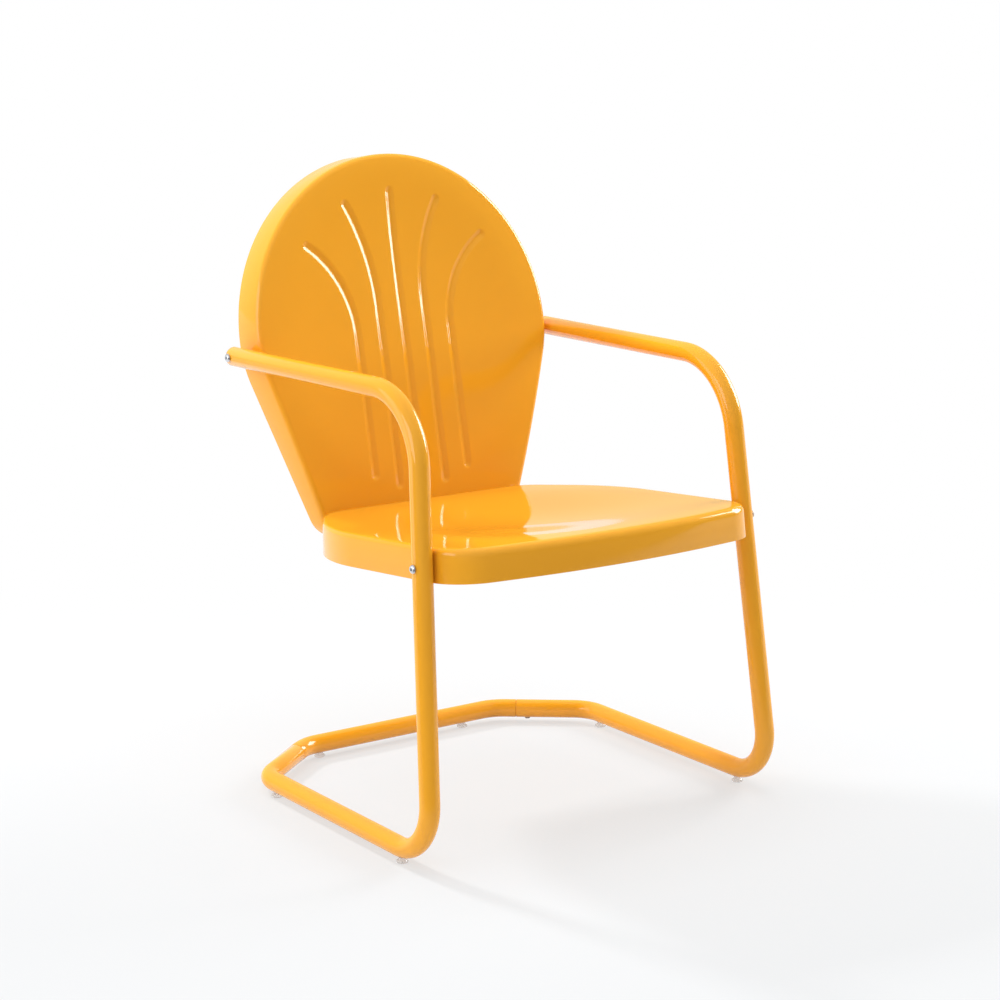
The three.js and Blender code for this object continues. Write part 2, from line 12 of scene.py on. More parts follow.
import bmesh
import bpy
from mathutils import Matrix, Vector


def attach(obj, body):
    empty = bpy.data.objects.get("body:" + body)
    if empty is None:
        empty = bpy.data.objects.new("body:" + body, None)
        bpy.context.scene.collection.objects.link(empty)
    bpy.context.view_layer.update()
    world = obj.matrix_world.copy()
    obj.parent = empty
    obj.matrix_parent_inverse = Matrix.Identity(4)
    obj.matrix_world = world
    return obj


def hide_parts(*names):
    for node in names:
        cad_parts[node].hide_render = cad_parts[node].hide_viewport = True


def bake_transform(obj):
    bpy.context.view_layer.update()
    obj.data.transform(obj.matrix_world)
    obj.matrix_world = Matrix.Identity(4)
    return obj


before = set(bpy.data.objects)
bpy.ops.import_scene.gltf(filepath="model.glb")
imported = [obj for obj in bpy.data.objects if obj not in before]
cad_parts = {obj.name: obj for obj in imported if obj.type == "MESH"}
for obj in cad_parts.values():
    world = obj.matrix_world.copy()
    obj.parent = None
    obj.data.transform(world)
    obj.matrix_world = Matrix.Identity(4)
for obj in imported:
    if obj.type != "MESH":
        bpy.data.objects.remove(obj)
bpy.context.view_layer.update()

# %% [markdown]
# ## The camera
# The photograph looks down at the chair from its front left, from about three and a half
# metres away, with a long lens, so the chair hardly narrows towards its back. The place and
# angles were worked out from the floor frame's corners and from the outlines of the pieces.

# %% Place the camera
CAMERA_PLACE = (-1.9394, -2.76585, 1.1334)
CAMERA_DOWN = math.radians(12.15)
CAMERA_TURN = math.radians(-35.27)
CAMERA_LENS = 89.85
CAMERA_SENSOR = 36.0

angles = (math.pi / 2 - CAMERA_DOWN, 0, CAMERA_TURN)
bpy.ops.object.camera_add(location=CAMERA_PLACE, rotation=angles)
camera = bpy.context.object
camera.name = "photo_camera"
camera.data.lens = CAMERA_LENS
camera.data.sensor_width = CAMERA_SENSOR
camera.data.sensor_fit = "HORIZONTAL"
bpy.context.scene.camera = camera
bpy.context.scene.view_settings.view_transform = "Standard"
print("camera lens:", camera.data.lens, "mm")

# %% [markdown]
# ## Starting a piece
# Loading the frame leaves its nodes selected, and operators act on all that is selected. So
# every piece starts with nothing selected. Its start place is applied at once, which leaves
# the object at the origin and the place in the mesh.

# %% Helpers for starting, choosing and copying
MODES = {"verts": "VERT", "edges": "EDGE", "faces": "FACE"}
TINY = 1e-6


def leave():
    if bpy.context.mode != "OBJECT":
        bpy.ops.object.mode_set(mode="OBJECT")


def only(piece):
    leave()
    bpy.ops.object.select_all(action="DESELECT")
    piece.select_set(True)
    bpy.context.view_layer.objects.active = piece


def apply_place():
    bpy.ops.object.transform_apply(location=True, rotation=True, scale=True)


def begin(name, add, **settings):
    leave()
    bpy.ops.object.select_all(action="DESELECT")
    add(**settings)
    piece = bpy.context.object
    piece.name = name
    piece.data.name = name
    apply_place()
    bpy.ops.object.mode_set(mode="EDIT")
    bpy.ops.mesh.select_mode(type="VERT")
    bpy.ops.mesh.select_all(action="SELECT")
    return piece


def choose(piece, kind, test):
    bpy.ops.mesh.select_mode(type=MODES[kind])
    bpy.ops.mesh.select_all(action="DESELECT")
    mesh = bmesh.from_edit_mesh(piece.data)
    for item in getattr(mesh, kind):
        if test(item):
            item.select_set(True)
    mesh.select_flush_mode()
    bmesh.update_edit_mesh(piece.data)


def tidy_faces(piece):
    only(piece)
    bpy.ops.object.mode_set(mode="EDIT")
    bpy.ops.mesh.select_all(action="SELECT")
    bpy.ops.mesh.remove_doubles(threshold=TINY)
    bpy.ops.mesh.normals_make_consistent(inside=False)
    leave()


def finish_with(piece, name, kind, **settings):
    only(piece)
    modifier = piece.modifiers.new(name, kind)
    for key, value in settings.items():
        setattr(modifier, key, value)
    bpy.ops.object.modifier_apply(modifier=name)


def copy_of(piece, name):
    only(piece)
    bpy.ops.object.duplicate(linked=False)
    twin = bpy.context.object
    twin.name = name
    twin.data.name = name
    return twin


def report(piece):
    low = [min(vertex.co[i] for vertex in piece.data.vertices) for i in range(3)]
    high = [max(vertex.co[i] for vertex in piece.data.vertices) for i in range(3)]
    sizes = [round((b - a) * 1000, 1) for a, b in zip(low, high)]
    print(f"{piece.name}: {len(piece.data.polygons)} faces, {sizes} mm")


# %% [markdown]
# ## Lines with rounded corners
# A tube bender and a press tool both work in straight runs and arcs. One helper finds the arc
# that rounds a corner, and another walks the line: it extrudes what is selected along each
# run and spins it round each arc. A selected ring leaves a tube behind, a selected point
# leaves an outline. The spin operator turns clockwise, so its angle is negative here.

# %% Helpers for runs and arcs
def bend_at(before, corner, after, radius):
    into = (corner - before).normalized()
    out = (after - corner).normalized()
    turn = into.angle(out)
    reach = radius * math.tan(turn / 2)
    inward = (out - into * out.dot(into)).normalized()
    start = corner - into * reach
    return {
        "start": start, "end": corner + out * reach, "centre": start + inward * radius,
        "axis": into.cross(out).normalized(), "turn": turn, "radius": radius,
    }


def run(pull, move, longest):
    if move.length < TINY:
        return
    count = max(1, math.ceil(move.length / longest))
    for _ in range(count):
        pull(TRANSFORM_OT_translate={"value": move / count})


def arc(bend, longest):
    steps = max(2, math.ceil(bend["turn"] * bend["radius"] / longest))
    bpy.ops.mesh.spin(
        steps=steps, angle=-bend["turn"], center=bend["centre"], axis=bend["axis"],
    )


def follow(pull, corners, radii, straight, curved):
    here = corners[0]
    for before, corner, after, radius in zip(corners, corners[1:], corners[2:], radii):
        bend = bend_at(before, corner, after, radius)
        run(pull, bend["start"] - here, straight)
        arc(bend, curved)
        here = bend["end"]
    run(pull, corners[-1] - here, straight)


# %% [markdown]
# ## The tube frame's driving sizes
# All tubes are 27 mm across, with a 1.5 mm wall. The corners are where the straight runs
# would meet. Depths are counted from a datum under the middle of the seat, and `at` shifts
# them to the frame's origin.

# %% Sizes of the tube frame
MID_DEPTH = 0.03585
GAP = 0.0003
TUBE_RADIUS = 0.0135
TUBE_WALL = 0.0015
TUBE_SIDES = 64
AXIS_HEIGHT = 0.02
FOOT_TOP = AXIS_HEIGHT - TUBE_RADIUS
ARM_BEND = 0.104
LEG_BEND = 0.066
RUNNER_BEND = 0.05
CROSS_BEND = 0.06
SEAM_PAST_CORNER = 0.037
LONG_RUN = 1.0
SIDES = {"left": -1, "right": 1}


def at(x, depth, height):
    return Vector((x, depth - MID_DEPTH, height))


def mirrored(point, sign):
    return Vector((point.x * sign, point.y, point.z))


ARM_END = at(0.2665, 0.2717, 0.601)
ARM_CORNER = at(0.2524, -0.1659, 0.6055)
LEG_CORNER = at(0.283, -0.238, AXIS_HEIGHT)
RUNNER_CORNER = at(0.283, 0.177, AXIS_HEIGHT)
CROSS_CORNER = at(0.166, 0.2676, AXIS_HEIGHT)


def along_chamfer(distance, sign):
    step = (RUNNER_CORNER - CROSS_CORNER).normalized() * distance
    return mirrored(CROSS_CORNER + step, sign)


def leg_axis(height, sign):
    share = (ARM_CORNER.z - height) / (ARM_CORNER.z - LEG_CORNER.z)
    return mirrored(ARM_CORNER.lerp(LEG_CORNER, share), sign)


def arm_axis(inset, sign):
    return mirrored(ARM_END + (ARM_CORNER - ARM_END).normalized() * inset, sign)


seam = along_chamfer(SEAM_PAST_CORNER, 1)
print("seams of the floor frame at", [round(value, 4) for value in seam])

# %% [markdown]
# ## Drilled holes
# Bolts, screws and glide stems pass through real holes. All holes of a piece are cylinders
# joined into one cutter, so each piece needs one Boolean only.

# %% Helper for drilling
HOLE_SIDES = 32


def aim(direction):
    return direction.to_track_quat("Z", "Y").to_euler()


def drill(piece, holes):
    cutters = []
    for place, direction, radius, length in holes:
        cutters.append(begin(
            "cutter", bpy.ops.mesh.primitive_cylinder_add, vertices=HOLE_SIDES, radius=radius,
            depth=length, location=place, rotation=aim(direction),
        ))
    only(cutters[0])
    for cutter in cutters:
        cutter.select_set(True)
    if len(cutters) > 1:
        bpy.ops.object.join()
    finish_with(piece, "holes", "BOOLEAN", operation="DIFFERENCE", object=cutters[0])
    bpy.data.objects.remove(cutters[0])


# %% [markdown]
# ## The side tubes
# Each side is one unbroken tube: arm, leg, sprung floor bend, runner and half a chamfer. A
# circle is extruded and spun along the route, so every bend is a true arc. Solidify then
# gives the wall, inwards, and a small bevel breaks the sawn ends.

# %% Model the side tubes
BEND_STEP = 0.004
SAWN_EDGE = 0.0004
SHARP = math.radians(50)
LEG_BOLT_HEIGHT = 0.392
ARM_BOLT_INSET = 0.007
BOLT_RADIUS = 0.003
STEM_RADIUS = 0.0032
SCREW_RADIUS = 0.0021
SPIGOT_LENGTH = 0.034
DRILL_REACH = 0.08
UP = Vector((0, 0, 1))
OUTWARD = Vector((1, 0, 0))
REARWARD = Vector((0, 1, 0))
FEET = {
    "front_left": (-0.283, -0.17), "front_right": (0.283, -0.17),
    "side_left": (-0.283, 0.148), "side_right": (0.283, 0.148),
    "rear_left": (-0.142, 0.2676), "rear_right": (0.11, 0.2676),
}


def ring_at(name, place, direction, radius):
    return begin(
        name, bpy.ops.mesh.primitive_circle_add, vertices=TUBE_SIDES, radius=radius,
        fill_type="NOTHING", location=place, rotation=aim(direction),
    )


def walled(piece):
    tidy_faces(piece)
    finish_with(piece, "wall", "SOLIDIFY", thickness=TUBE_WALL, offset=-1)
    finish_with(
        piece, "sawn_edge", "BEVEL", width=SAWN_EDGE, segments=2, limit_method="ANGLE",
        angle_limit=SHARP,
    )


def stem_hole(foot):
    x, depth = FEET[foot]
    return (at(x, depth, FOOT_TOP), UP, STEM_RADIUS + GAP, TUBE_RADIUS)


def side_tube(side, sign):
    corners = [mirrored(p, sign) for p in (ARM_END, ARM_CORNER, LEG_CORNER, RUNNER_CORNER, seam)]
    piece = ring_at(f"side_tube_{side}", corners[0], corners[1] - corners[0], TUBE_RADIUS)
    pull = bpy.ops.mesh.extrude_region_move
    follow(pull, corners, [ARM_BEND, LEG_BEND, RUNNER_BEND], LONG_RUN, BEND_STEP)
    walled(piece)
    screw = along_chamfer(SEAM_PAST_CORNER + SPIGOT_LENGTH / 2, sign)
    drill(piece, [
        (leg_axis(LEG_BOLT_HEIGHT, sign), OUTWARD, BOLT_RADIUS + GAP, DRILL_REACH),
        (arm_axis(ARM_BOLT_INSET, sign), OUTWARD, BOLT_RADIUS + GAP, DRILL_REACH),
        stem_hole(f"front_{side}"), stem_hole(f"side_{side}"),
        (screw - UP * TUBE_RADIUS, UP, SCREW_RADIUS + GAP, TUBE_RADIUS),
    ])
    return piece


side_tubes = {side: side_tube(side, sign) for side, sign in SIDES.items()}
for piece in side_tubes.values():
    report(piece)

# %% [markdown]
# ## The rear cross tube
# A separate tube closes the floor frame at the rear. Its two ends are drawn down to slip into
# the side tubes, which is why a fine seam shows on each chamfer. The ring starts small, grows
# at the shoulder, follows the route and shrinks again.

# %% Model the cross tube
SPIGOT_RADIUS = TUBE_RADIUS - TUBE_WALL - GAP
SHOULDER = 0.0008


def resize_ring(place, factor):
    bpy.ops.transform.resize(value=(factor,) * 3, center_override=place)


def cross_tube():
    ends = [along_chamfer(SEAM_PAST_CORNER - GAP, sign) for sign in (-1, 1)]
    bends = [mirrored(CROSS_CORNER, -1), CROSS_CORNER]
    into = (bends[0] - ends[0]).normalized()
    out = (ends[1] - bends[1]).normalized()
    piece = ring_at("rear_tube", ends[0] - into * SPIGOT_LENGTH, into, SPIGOT_RADIUS)
    pull = bpy.ops.mesh.extrude_region_move
    run(pull, into * SPIGOT_LENGTH, LONG_RUN)
    run(pull, into * SHOULDER / 2, LONG_RUN)
    resize_ring(ends[0] + into * SHOULDER / 2, TUBE_RADIUS / SPIGOT_RADIUS)
    inner = [ends[0] + into * SHOULDER / 2, *bends, ends[1] - out * SHOULDER / 2]
    follow(pull, inner, [CROSS_BEND, CROSS_BEND], LONG_RUN, BEND_STEP)
    run(pull, out * SHOULDER / 2, LONG_RUN)
    resize_ring(ends[1], SPIGOT_RADIUS / TUBE_RADIUS)
    run(pull, out * SPIGOT_LENGTH, LONG_RUN)
    walled(piece)
    screws = [along_chamfer(SEAM_PAST_CORNER + SPIGOT_LENGTH / 2, sign) for sign in (-1, 1)]
    screw_holes = [(p - UP * TUBE_RADIUS, UP, SCREW_RADIUS + GAP, TUBE_RADIUS) for p in screws]
    drill(piece, [stem_hole("rear_left"), stem_hole("rear_right"), *screw_holes])
    return piece


rear_tube = cross_tube()
report(rear_tube)

# %% [markdown]
# ## Pressed sheet
# Seat and back are pressed from 1.5 mm sheet in the same way. Half of the outline is walked
# as runs and arcs, then mirrored. The closed line is filled, inset by a rim strip, and the
# inside is filled again with an even grid, because a glossy dished face shows every uneven
# patch. The outer edge is pulled back into a flange, and a wide bevel rolls the rim.

# %% Helpers for pressed sheet
SHEET = 0.0015
CELL = 0.004
RIM_STRIP = 0.016
ROLL_SEGMENTS = 8
POINT = 1e-4


def one_point(name, place):
    piece = begin(name, bpy.ops.mesh.primitive_plane_add, size=POINT, location=place)
    bpy.ops.mesh.merge(type="CENTER")
    return piece


def mirror_half():
    bpy.ops.mesh.select_all(action="SELECT")
    bpy.ops.mesh.duplicate()
    bpy.ops.transform.resize(value=(-1, 1, 1), center_override=(0, 0, 0))
    bpy.ops.mesh.select_all(action="SELECT")
    bpy.ops.mesh.remove_doubles(threshold=POINT)


def fill_face(piece, end_cells, to_end):
    bpy.ops.mesh.select_mode(type="EDGE")
    bpy.ops.mesh.select_all(action="SELECT")
    bpy.ops.mesh.edge_face_add()
    bpy.ops.mesh.inset(thickness=RIM_STRIP)
    mesh = bmesh.from_edit_mesh(piece.data)
    mesh.edges.index_update()
    inner = {edge.index for edge in mesh.edges if edge.select}
    bpy.ops.mesh.delete(type="ONLY_FACE")
    choose(piece, "edges", lambda edge: edge.index in inner)
    mesh = bmesh.from_edit_mesh(piece.data)
    end = max((vertex for vertex in mesh.verts if vertex.select), key=to_end)
    mesh.select_history.clear()
    mesh.select_history.add(end)
    bpy.ops.mesh.fill_grid(span=end_cells, offset=end_cells // 2)


# %% [markdown]
# A dish, a groove or a lean is a small move of many points by a formula. It is painted as a
# vertex group, and a Displace modifier moves the points along one axis by that weight. The
# weights run from nothing to one, so the least move is added to all points beforehand.

# %% Helper for pushing points by a formula
def push(piece, direction, amount):
    only(piece)
    amounts = [amount(vertex.co) for vertex in piece.data.vertices]
    low = min(amounts)
    span = max(amounts) - low
    if direction != "NORMAL":
        shift = [low if axis == direction else 0 for axis in "XYZ"]
        piece.location = shift
        apply_place()
    group = piece.vertex_groups.new(name="push")
    for index, value in enumerate(amounts):
        group.add([index], (value - low) / span, "REPLACE")
    finish_with(
        piece, "push", "DISPLACE", direction=direction, strength=span, mid_level=0,
        vertex_group="push",
    )
    piece.vertex_groups.clear()


def smoothstep(low, high, value):
    share = min(max((value - low) / (high - low), 0), 1)
    return share * share * (3 - 2 * share)


def bowl(depth, x, y, reach_x, reach_y, flatness):
    def sunk(across, along):
        far = ((across - x) / reach_x) ** 2 + ((along - y) / reach_y) ** 2
        return depth * (1 - far ** flatness) ** 2 if far < 1 else 0
    return sunk


# %% [markdown]
# The rim is rolled by a Bevel that reads each edge's own weight, so the seat's front can have
# a fuller roll than its sides. The flange flares a little towards its lip, along the normals.

# %% Helpers for flange and rim
LIP_EDGE = 0.0004


def pull_flange(piece, move):
    choose(piece, "edges", lambda edge: edge.is_boundary)
    bpy.ops.mesh.extrude_region_move(TRANSFORM_OT_translate={"value": move})
    tidy_faces(piece)


def roll_rim(piece, roll):
    only(piece)
    bpy.ops.object.mode_set(mode="EDIT")
    mesh = bmesh.from_edit_mesh(piece.data)
    weights = mesh.edges.layers.float.new("bevel_weight_edge")
    rim = [edge for edge in mesh.edges if edge.calc_face_angle(0) > SHARP]
    radii = [roll((edge.verts[0].co + edge.verts[1].co) / 2) for edge in rim]
    widest = max(radii)
    for edge, radius in zip(rim, radii):
        edge[weights] = radius / widest
    leave()
    finish_with(
        piece, "roll", "BEVEL", width=widest, segments=ROLL_SEGMENTS, limit_method="WEIGHT",
        use_clamp_overlap=False,
    )
    piece.data.attributes.remove(piece.data.attributes["bevel_weight_edge"])


def give_thickness(piece):
    finish_with(piece, "sheet", "SOLIDIFY", thickness=SHEET, offset=-1)
    finish_with(
        piece, "lip", "BEVEL", width=LIP_EDGE, segments=2, limit_method="ANGLE",
        angle_limit=SHARP,
    )


# %% [markdown]
# ## The seat pan
# The pan is almost square with a bowed front and narrower rear. It is drawn flat, dished in
# its middle, and then tilted five degrees down to the rear, as it sits in the frame.

# %% Model the seat pan
SEAT_SLOPE = math.atan(0.087)
SEAT_HEIGHT = 0.3982
SEAT_DEPTH = 0.044
SEAT_ROLL = 0.007
SEAT_FRONT_ROLL = 0.011
SEAT_FRONT_ROLL_FROM = -0.2
SEAT_FRONT_ROLL_FULL = -0.25
SEAT_FLARE = 0.0016
SEAT_FLARE_FULL = 0.15
SEAT_REAR = 0.202
SEAT_FRONT = Vector((0, -0.2814, 0))
SEAT_FRONT_BOW = 1.0
SEAT_CORNERS = [
    (Vector((0.2488, -0.2404, 0)), 0.062),
    (Vector((0.2516, 0.072, 0)), 0.25),
    (Vector((0.169, SEAT_REAR, 0)), 0.057),
]
SEAT_END_CELLS = 110
SEAT_BOLT_X = {"left": -0.11, "middle": 0, "right": 0.11}
SEAT_BOLT_HEIGHT = 0.362
BOLT_HOLE = BOLT_RADIUS + GAP
seat_dish = bowl(0.012, 0, -0.035, 0.238, 0.225, 1)


def seat_outline():
    right = SEAT_CORNERS[0][0]
    bow = bend_at(mirrored(right, -1), SEAT_FRONT, right, SEAT_FRONT_BOW)
    piece = one_point("seat_pan", bow["centre"] - Vector((0, SEAT_FRONT_BOW, 0)))
    arc({**bow, "turn": bow["turn"] / 2}, CELL)
    corners = [bow["end"], *(place for place, _ in SEAT_CORNERS), Vector((0, SEAT_REAR, 0))]
    radii = [radius for _, radius in SEAT_CORNERS]
    follow(bpy.ops.mesh.extrude_vertices_move, corners, radii, CELL, CELL)
    mirror_half()
    return piece


def seat_roll(point):
    front = smoothstep(SEAT_FRONT_ROLL_FROM, SEAT_FRONT_ROLL_FULL, point.y)
    return SEAT_ROLL + (SEAT_FRONT_ROLL - SEAT_ROLL) * front


def seat_flare(point):
    on_lip = point.z < POINT - SEAT_DEPTH
    return SEAT_FLARE * smoothstep(SEAT_REAR, SEAT_FLARE_FULL, point.y) if on_lip else 0


def seat_press(point):
    return -seat_dish(point.x, point.y) if point.z > -POINT else 0


def seat_bolt_hole(x):
    return (at(x, SEAT_REAR, SEAT_BOLT_HEIGHT), REARWARD, BOLT_HOLE, DRILL_REACH)


def seat_pan():
    piece = seat_outline()
    fill_face(piece, SEAT_END_CELLS, lambda vertex: (vertex.co.y, -abs(vertex.co.x)))
    pull_flange(piece, Vector((0, 0, -SEAT_DEPTH)))
    roll_rim(piece, seat_roll)
    push(piece, "NORMAL", seat_flare)
    push(piece, "Z", seat_press)
    piece.rotation_euler.x = -SEAT_SLOPE
    piece.location = at(0, 0, SEAT_HEIGHT)
    apply_place()
    give_thickness(piece)
    sides = [leg_axis(LEG_BOLT_HEIGHT, sign) for sign in SIDES.values()]
    side_holes = [(place, OUTWARD, BOLT_HOLE, DRILL_REACH) for place in sides]
    drill(piece, [*side_holes, *(seat_bolt_hole(x) for x in SEAT_BOLT_X.values())])
    return piece


seat = seat_pan()
report(seat)

# %% [markdown]
# ## The back
# The back is a round plate of 244 mm radius whose sides taper to a narrow foot, with a
# tighter bend where they leave the circle. Five grooves are stamped into it in a fan: the
# middle one straight, the others straight below and curved outwards above. Each is 2.6 mm
# deep, and its walls are straight slopes between a round floor and round shoulders, because
# a straight wall mirrors a lamp as one clean line. A groove is finer than the grid, so the
# faces near it are subdivided before anything is pushed.

# %% Measure the distance to a groove
RIBS = [
    {"x": 0.0, "foot": 0.396, "bend": 0.815, "radius": 0.0, "top": 0.815},
    {"x": 0.039, "foot": 0.405, "bend": 0.66, "radius": 0.278, "top": 0.7995},
    {"x": 0.079, "foot": 0.422, "bend": 0.62, "radius": 0.15, "top": 0.746},
]
RIB_DEPTH = 0.0026
RIB_REACH = 0.0078
RIB_ROUND = 0.001
RIB_REFINED = 0.011


def from_rib(x, height, rib):
    across = abs(x) - rib["x"]
    rise = height - rib["bend"]
    past = height - min(max(height, rib["foot"]), rib["bend"])
    near = math.hypot(across, past)
    radius = rib["radius"]
    if radius == 0:
        return near
    turn = math.asin((rib["top"] - rib["bend"]) / radius)
    if 0 <= math.atan2(rise, radius - across) <= turn:
        return min(near, abs(math.hypot(rise, radius - across) - radius))
    end_across = radius * (1 - math.cos(turn))
    end_rise = radius * math.sin(turn)
    return min(near, math.hypot(across - end_across, rise - end_rise))


def groove(x, height):
    near = min(from_rib(x, height, rib) for rib in RIBS)
    if near > RIB_REACH:
        return 0
    full = RIB_REACH - RIB_ROUND
    if near < RIB_ROUND:
        share = 1 - near ** 2 / (2 * RIB_ROUND * full)
    elif near < full:
        share = 1 - (near - RIB_ROUND / 2) / full
    else:
        share = (RIB_REACH - near) ** 2 / (2 * RIB_ROUND * full)
    return RIB_DEPTH * share


print("groove depths across the middle one:", [round(groove(x / 1000, 0.6), 4) for x in range(8)])

# %% [markdown]
# The plate leans back by 13 degrees and curves forward towards its foot. The flange stands
# square to the plate at each height, so a point behind the plate moves down as well as back.

# %% Model the back
BACK_RADIUS = 0.2443
BACK_SIDE_RADIUS = 0.1755
BACK_CENTRE = Vector((0, 0, 0.6235))
BACK_TAPER = math.radians(18)
BACK_FOOT = 0.343
BACK_FOOT_CORNER = 0.036
BACK_ROLL = 0.008
BACK_DEPTH = 0.0475
BACK_FLARE = 0.004
BACK_LEAN = 0.2286
BACK_LEAN_TOP = 0.6
BACK_LEAN_DEPTH = 0.2354
BACK_CURVE = 1.5
BACK_END_CELLS = 100
back_dish = bowl(0.009, 0, 0.624, 0.215, 0.232, 2)


def back_outline():
    side_centre = BACK_CENTRE + Vector((BACK_RADIUS - BACK_SIDE_RADIUS, 0, 0))
    side = Vector((math.cos(BACK_TAPER), 0, -math.sin(BACK_TAPER)))
    tangent = side_centre + side * BACK_SIDE_RADIUS
    foot_x = tangent.x - (tangent.z - BACK_FOOT) * math.tan(BACK_TAPER)
    start = Vector((0, 0, BACK_FOOT))
    corners = [start, Vector((foot_x, 0, BACK_FOOT)), tangent]
    piece = one_point("back_plate", start)
    follow(bpy.ops.mesh.extrude_vertices_move, corners, [BACK_FOOT_CORNER], CELL, CELL)
    for centre, radius, turn in (
        (side_centre, BACK_SIDE_RADIUS, BACK_TAPER), (BACK_CENTRE, BACK_RADIUS, math.pi / 2),
    ):
        arc({"centre": centre, "axis": -REARWARD, "radius": radius, "turn": turn}, CELL)
    mirror_half()
    return piece


def back_lift(height):
    return max(BACK_LEAN_TOP - height, 0) ** 2 / (2 * BACK_CURVE)


def back_face(height):
    lean = BACK_LEAN * (BACK_LEAN_TOP - height)
    return BACK_LEAN_DEPTH - MID_DEPTH - lean + back_lift(height)


def back_slope(height):
    return BACK_LEAN - max(BACK_LEAN_TOP - height, 0) / BACK_CURVE


def back_press(point):
    if point.y > POINT:
        return 0
    return back_dish(point.x, point.z) + groove(point.x, point.z)


def back_flare(point):
    return BACK_FLARE if point.y > BACK_DEPTH - POINT else 0


def back_set(point):
    shorter = back_lift(point.z) if point.y > BACK_DEPTH - POINT else 0
    square = math.cos(math.atan(back_slope(point.z)))
    return back_face(point.z) + (point.y - shorter) * square - point.y


def back_drop(point):
    return -back_slope(point.z) * (point.y - back_face(point.z))


def back_plate():
    piece = back_outline()
    fill_face(piece, BACK_END_CELLS, lambda vertex: (vertex.co.z, -abs(vertex.co.x)))
    choose(piece, "faces", lambda face: min(
        from_rib(face.calc_center_median().x, face.calc_center_median().z, rib) for rib in RIBS
    ) < RIB_REFINED)
    bpy.ops.mesh.subdivide(number_cuts=2)
    pull_flange(piece, Vector((0, BACK_DEPTH, 0)))
    roll_rim(piece, lambda point: BACK_ROLL)
    push(piece, "NORMAL", back_flare)
    push(piece, "Y", back_press)
    push(piece, "Y", back_set)
    push(piece, "Z", back_drop)
    give_thickness(piece)
    arms = [arm_axis(ARM_BOLT_INSET, sign) for sign in SIDES.values()]
    arm_holes = [(place, OUTWARD, BOLT_HOLE, DRILL_REACH) for place in arms]
    drill(piece, [*arm_holes, *(seat_bolt_hole(x) for x in SEAT_BOLT_X.values())])
    return piece


back = back_plate()
report(back)

# %% [markdown]
# ## Turned parts
# Bolts, washers, glides, caps and spacers are round, so each is a profile of (radius, height)
# points, drawn by extruding one point and spun once round the upright axis.

# %% Helpers for turned parts
ROUND_SIDES = 48


def turned(name, profile, sides=ROUND_SIDES):
    radius, height = profile[0]
    piece = one_point(name, Vector((radius, 0, height)))
    for (r0, z0), (r1, z1) in zip(profile, profile[1:]):
        move = (r1 - r0, 0, z1 - z0)
        bpy.ops.mesh.extrude_vertices_move(TRANSFORM_OT_translate={"value": move})
    bpy.ops.mesh.select_all(action="SELECT")
    bpy.ops.mesh.spin(steps=sides, angle=2 * math.pi, center=(0, 0, 0), axis=(0, 0, 1))
    tidy_faces(piece)
    return piece


def quarter(radius, height, edge, base=0.0, steps=6):
    """Points of a rounded outer edge, from the side up on to the top."""
    angles = [math.pi / 2 * i / steps for i in range(steps + 1)]
    return [
        (radius - edge + edge * math.cos(a), base + height - edge + edge * math.sin(a))
        for a in angles
    ]


def placed_copy(master, name, place, direction):
    piece = copy_of(master, name)
    piece.location = place
    piece.rotation_euler = aim(direction)
    apply_place()
    return piece


def remove(*masters):
    for master in masters:
        bpy.data.objects.remove(master)


# %% [markdown]
# ## Bolts, washers and nuts
# The bolts have a low button head with a hex socket. The thread is a row of small ridges on
# the end of the shank, because only its tip shows past the nut. The nut is a six-sided
# block whose corners are turned off by a cone, as on real nuts.

# %% Model the fasteners
HEAD_RADIUS = 0.006
HEAD_HEIGHT = 0.0034
HEAD_EDGE = 0.0009
SOCKET_RADIUS = 0.0024
SOCKET_DEPTH = 0.0021
SOCKET_FLAT = 0.0031
THREAD_PITCH = 0.001
THREAD_DEPTH = 0.0004
THREAD_END = 0.002
NUT_RADIUS = 0.0057
NUT_HEIGHT = 0.005
NUT_CHAMFER = 0.0007
NUT_EDGE = 0.00015
NUT_SHARP = math.radians(25)
WASHER_RADIUS = 0.008
WASHER_HEIGHT = 0.0014
WASHER_EDGE = 0.0003
SEAT_FLANGE_X = 0.2474
BACK_FLANGE_X = 0.2428
BACK_FLANGE_SLACK = 0.0011
SEAT_BOLT_SLACK = 0.0007


def button_head(radius, height, flat, edge, steps=8):
    """From under the head, round its edge and over its dome to the flat round the socket."""
    points = [(radius - edge, 0.0), (radius, edge)]
    low = math.asin(edge / height)
    for i in range(1, steps + 1):
        a = low + (math.pi / 2 - low) * i / steps
        points.append((flat + (radius - flat) * math.cos(a), height * math.sin(a)))
    return points


def threaded(radius, start, end):
    count = int(abs(end - start) / THREAD_PITCH)
    points = []
    for i in range(count):
        height = start + THREAD_PITCH * i
        points += [(radius - THREAD_DEPTH, height), (radius, height + THREAD_PITCH / 2)]
    return points


def socket_bolt(name, length, radius, head_radius, head_height, flat):
    thread = threaded(radius, -length + THREAD_DEPTH, -length / 2)
    bolt = turned(name, [
        (0, -length), (radius - 2 * THREAD_DEPTH, -length), *thread, (radius, 0),
        *button_head(head_radius, head_height, flat, HEAD_EDGE * head_height / HEAD_HEIGHT),
        (0, head_height),
    ])
    depth = 2 * SOCKET_DEPTH * head_height / HEAD_HEIGHT
    cutter = begin(
        "cutter", bpy.ops.mesh.primitive_cylinder_add, vertices=6, depth=depth,
        radius=SOCKET_RADIUS * flat / SOCKET_FLAT, location=(0, 0, head_height),
    )
    finish_with(bolt, "socket", "BOOLEAN", operation="DIFFERENCE", object=cutter)
    remove(cutter)
    return bolt


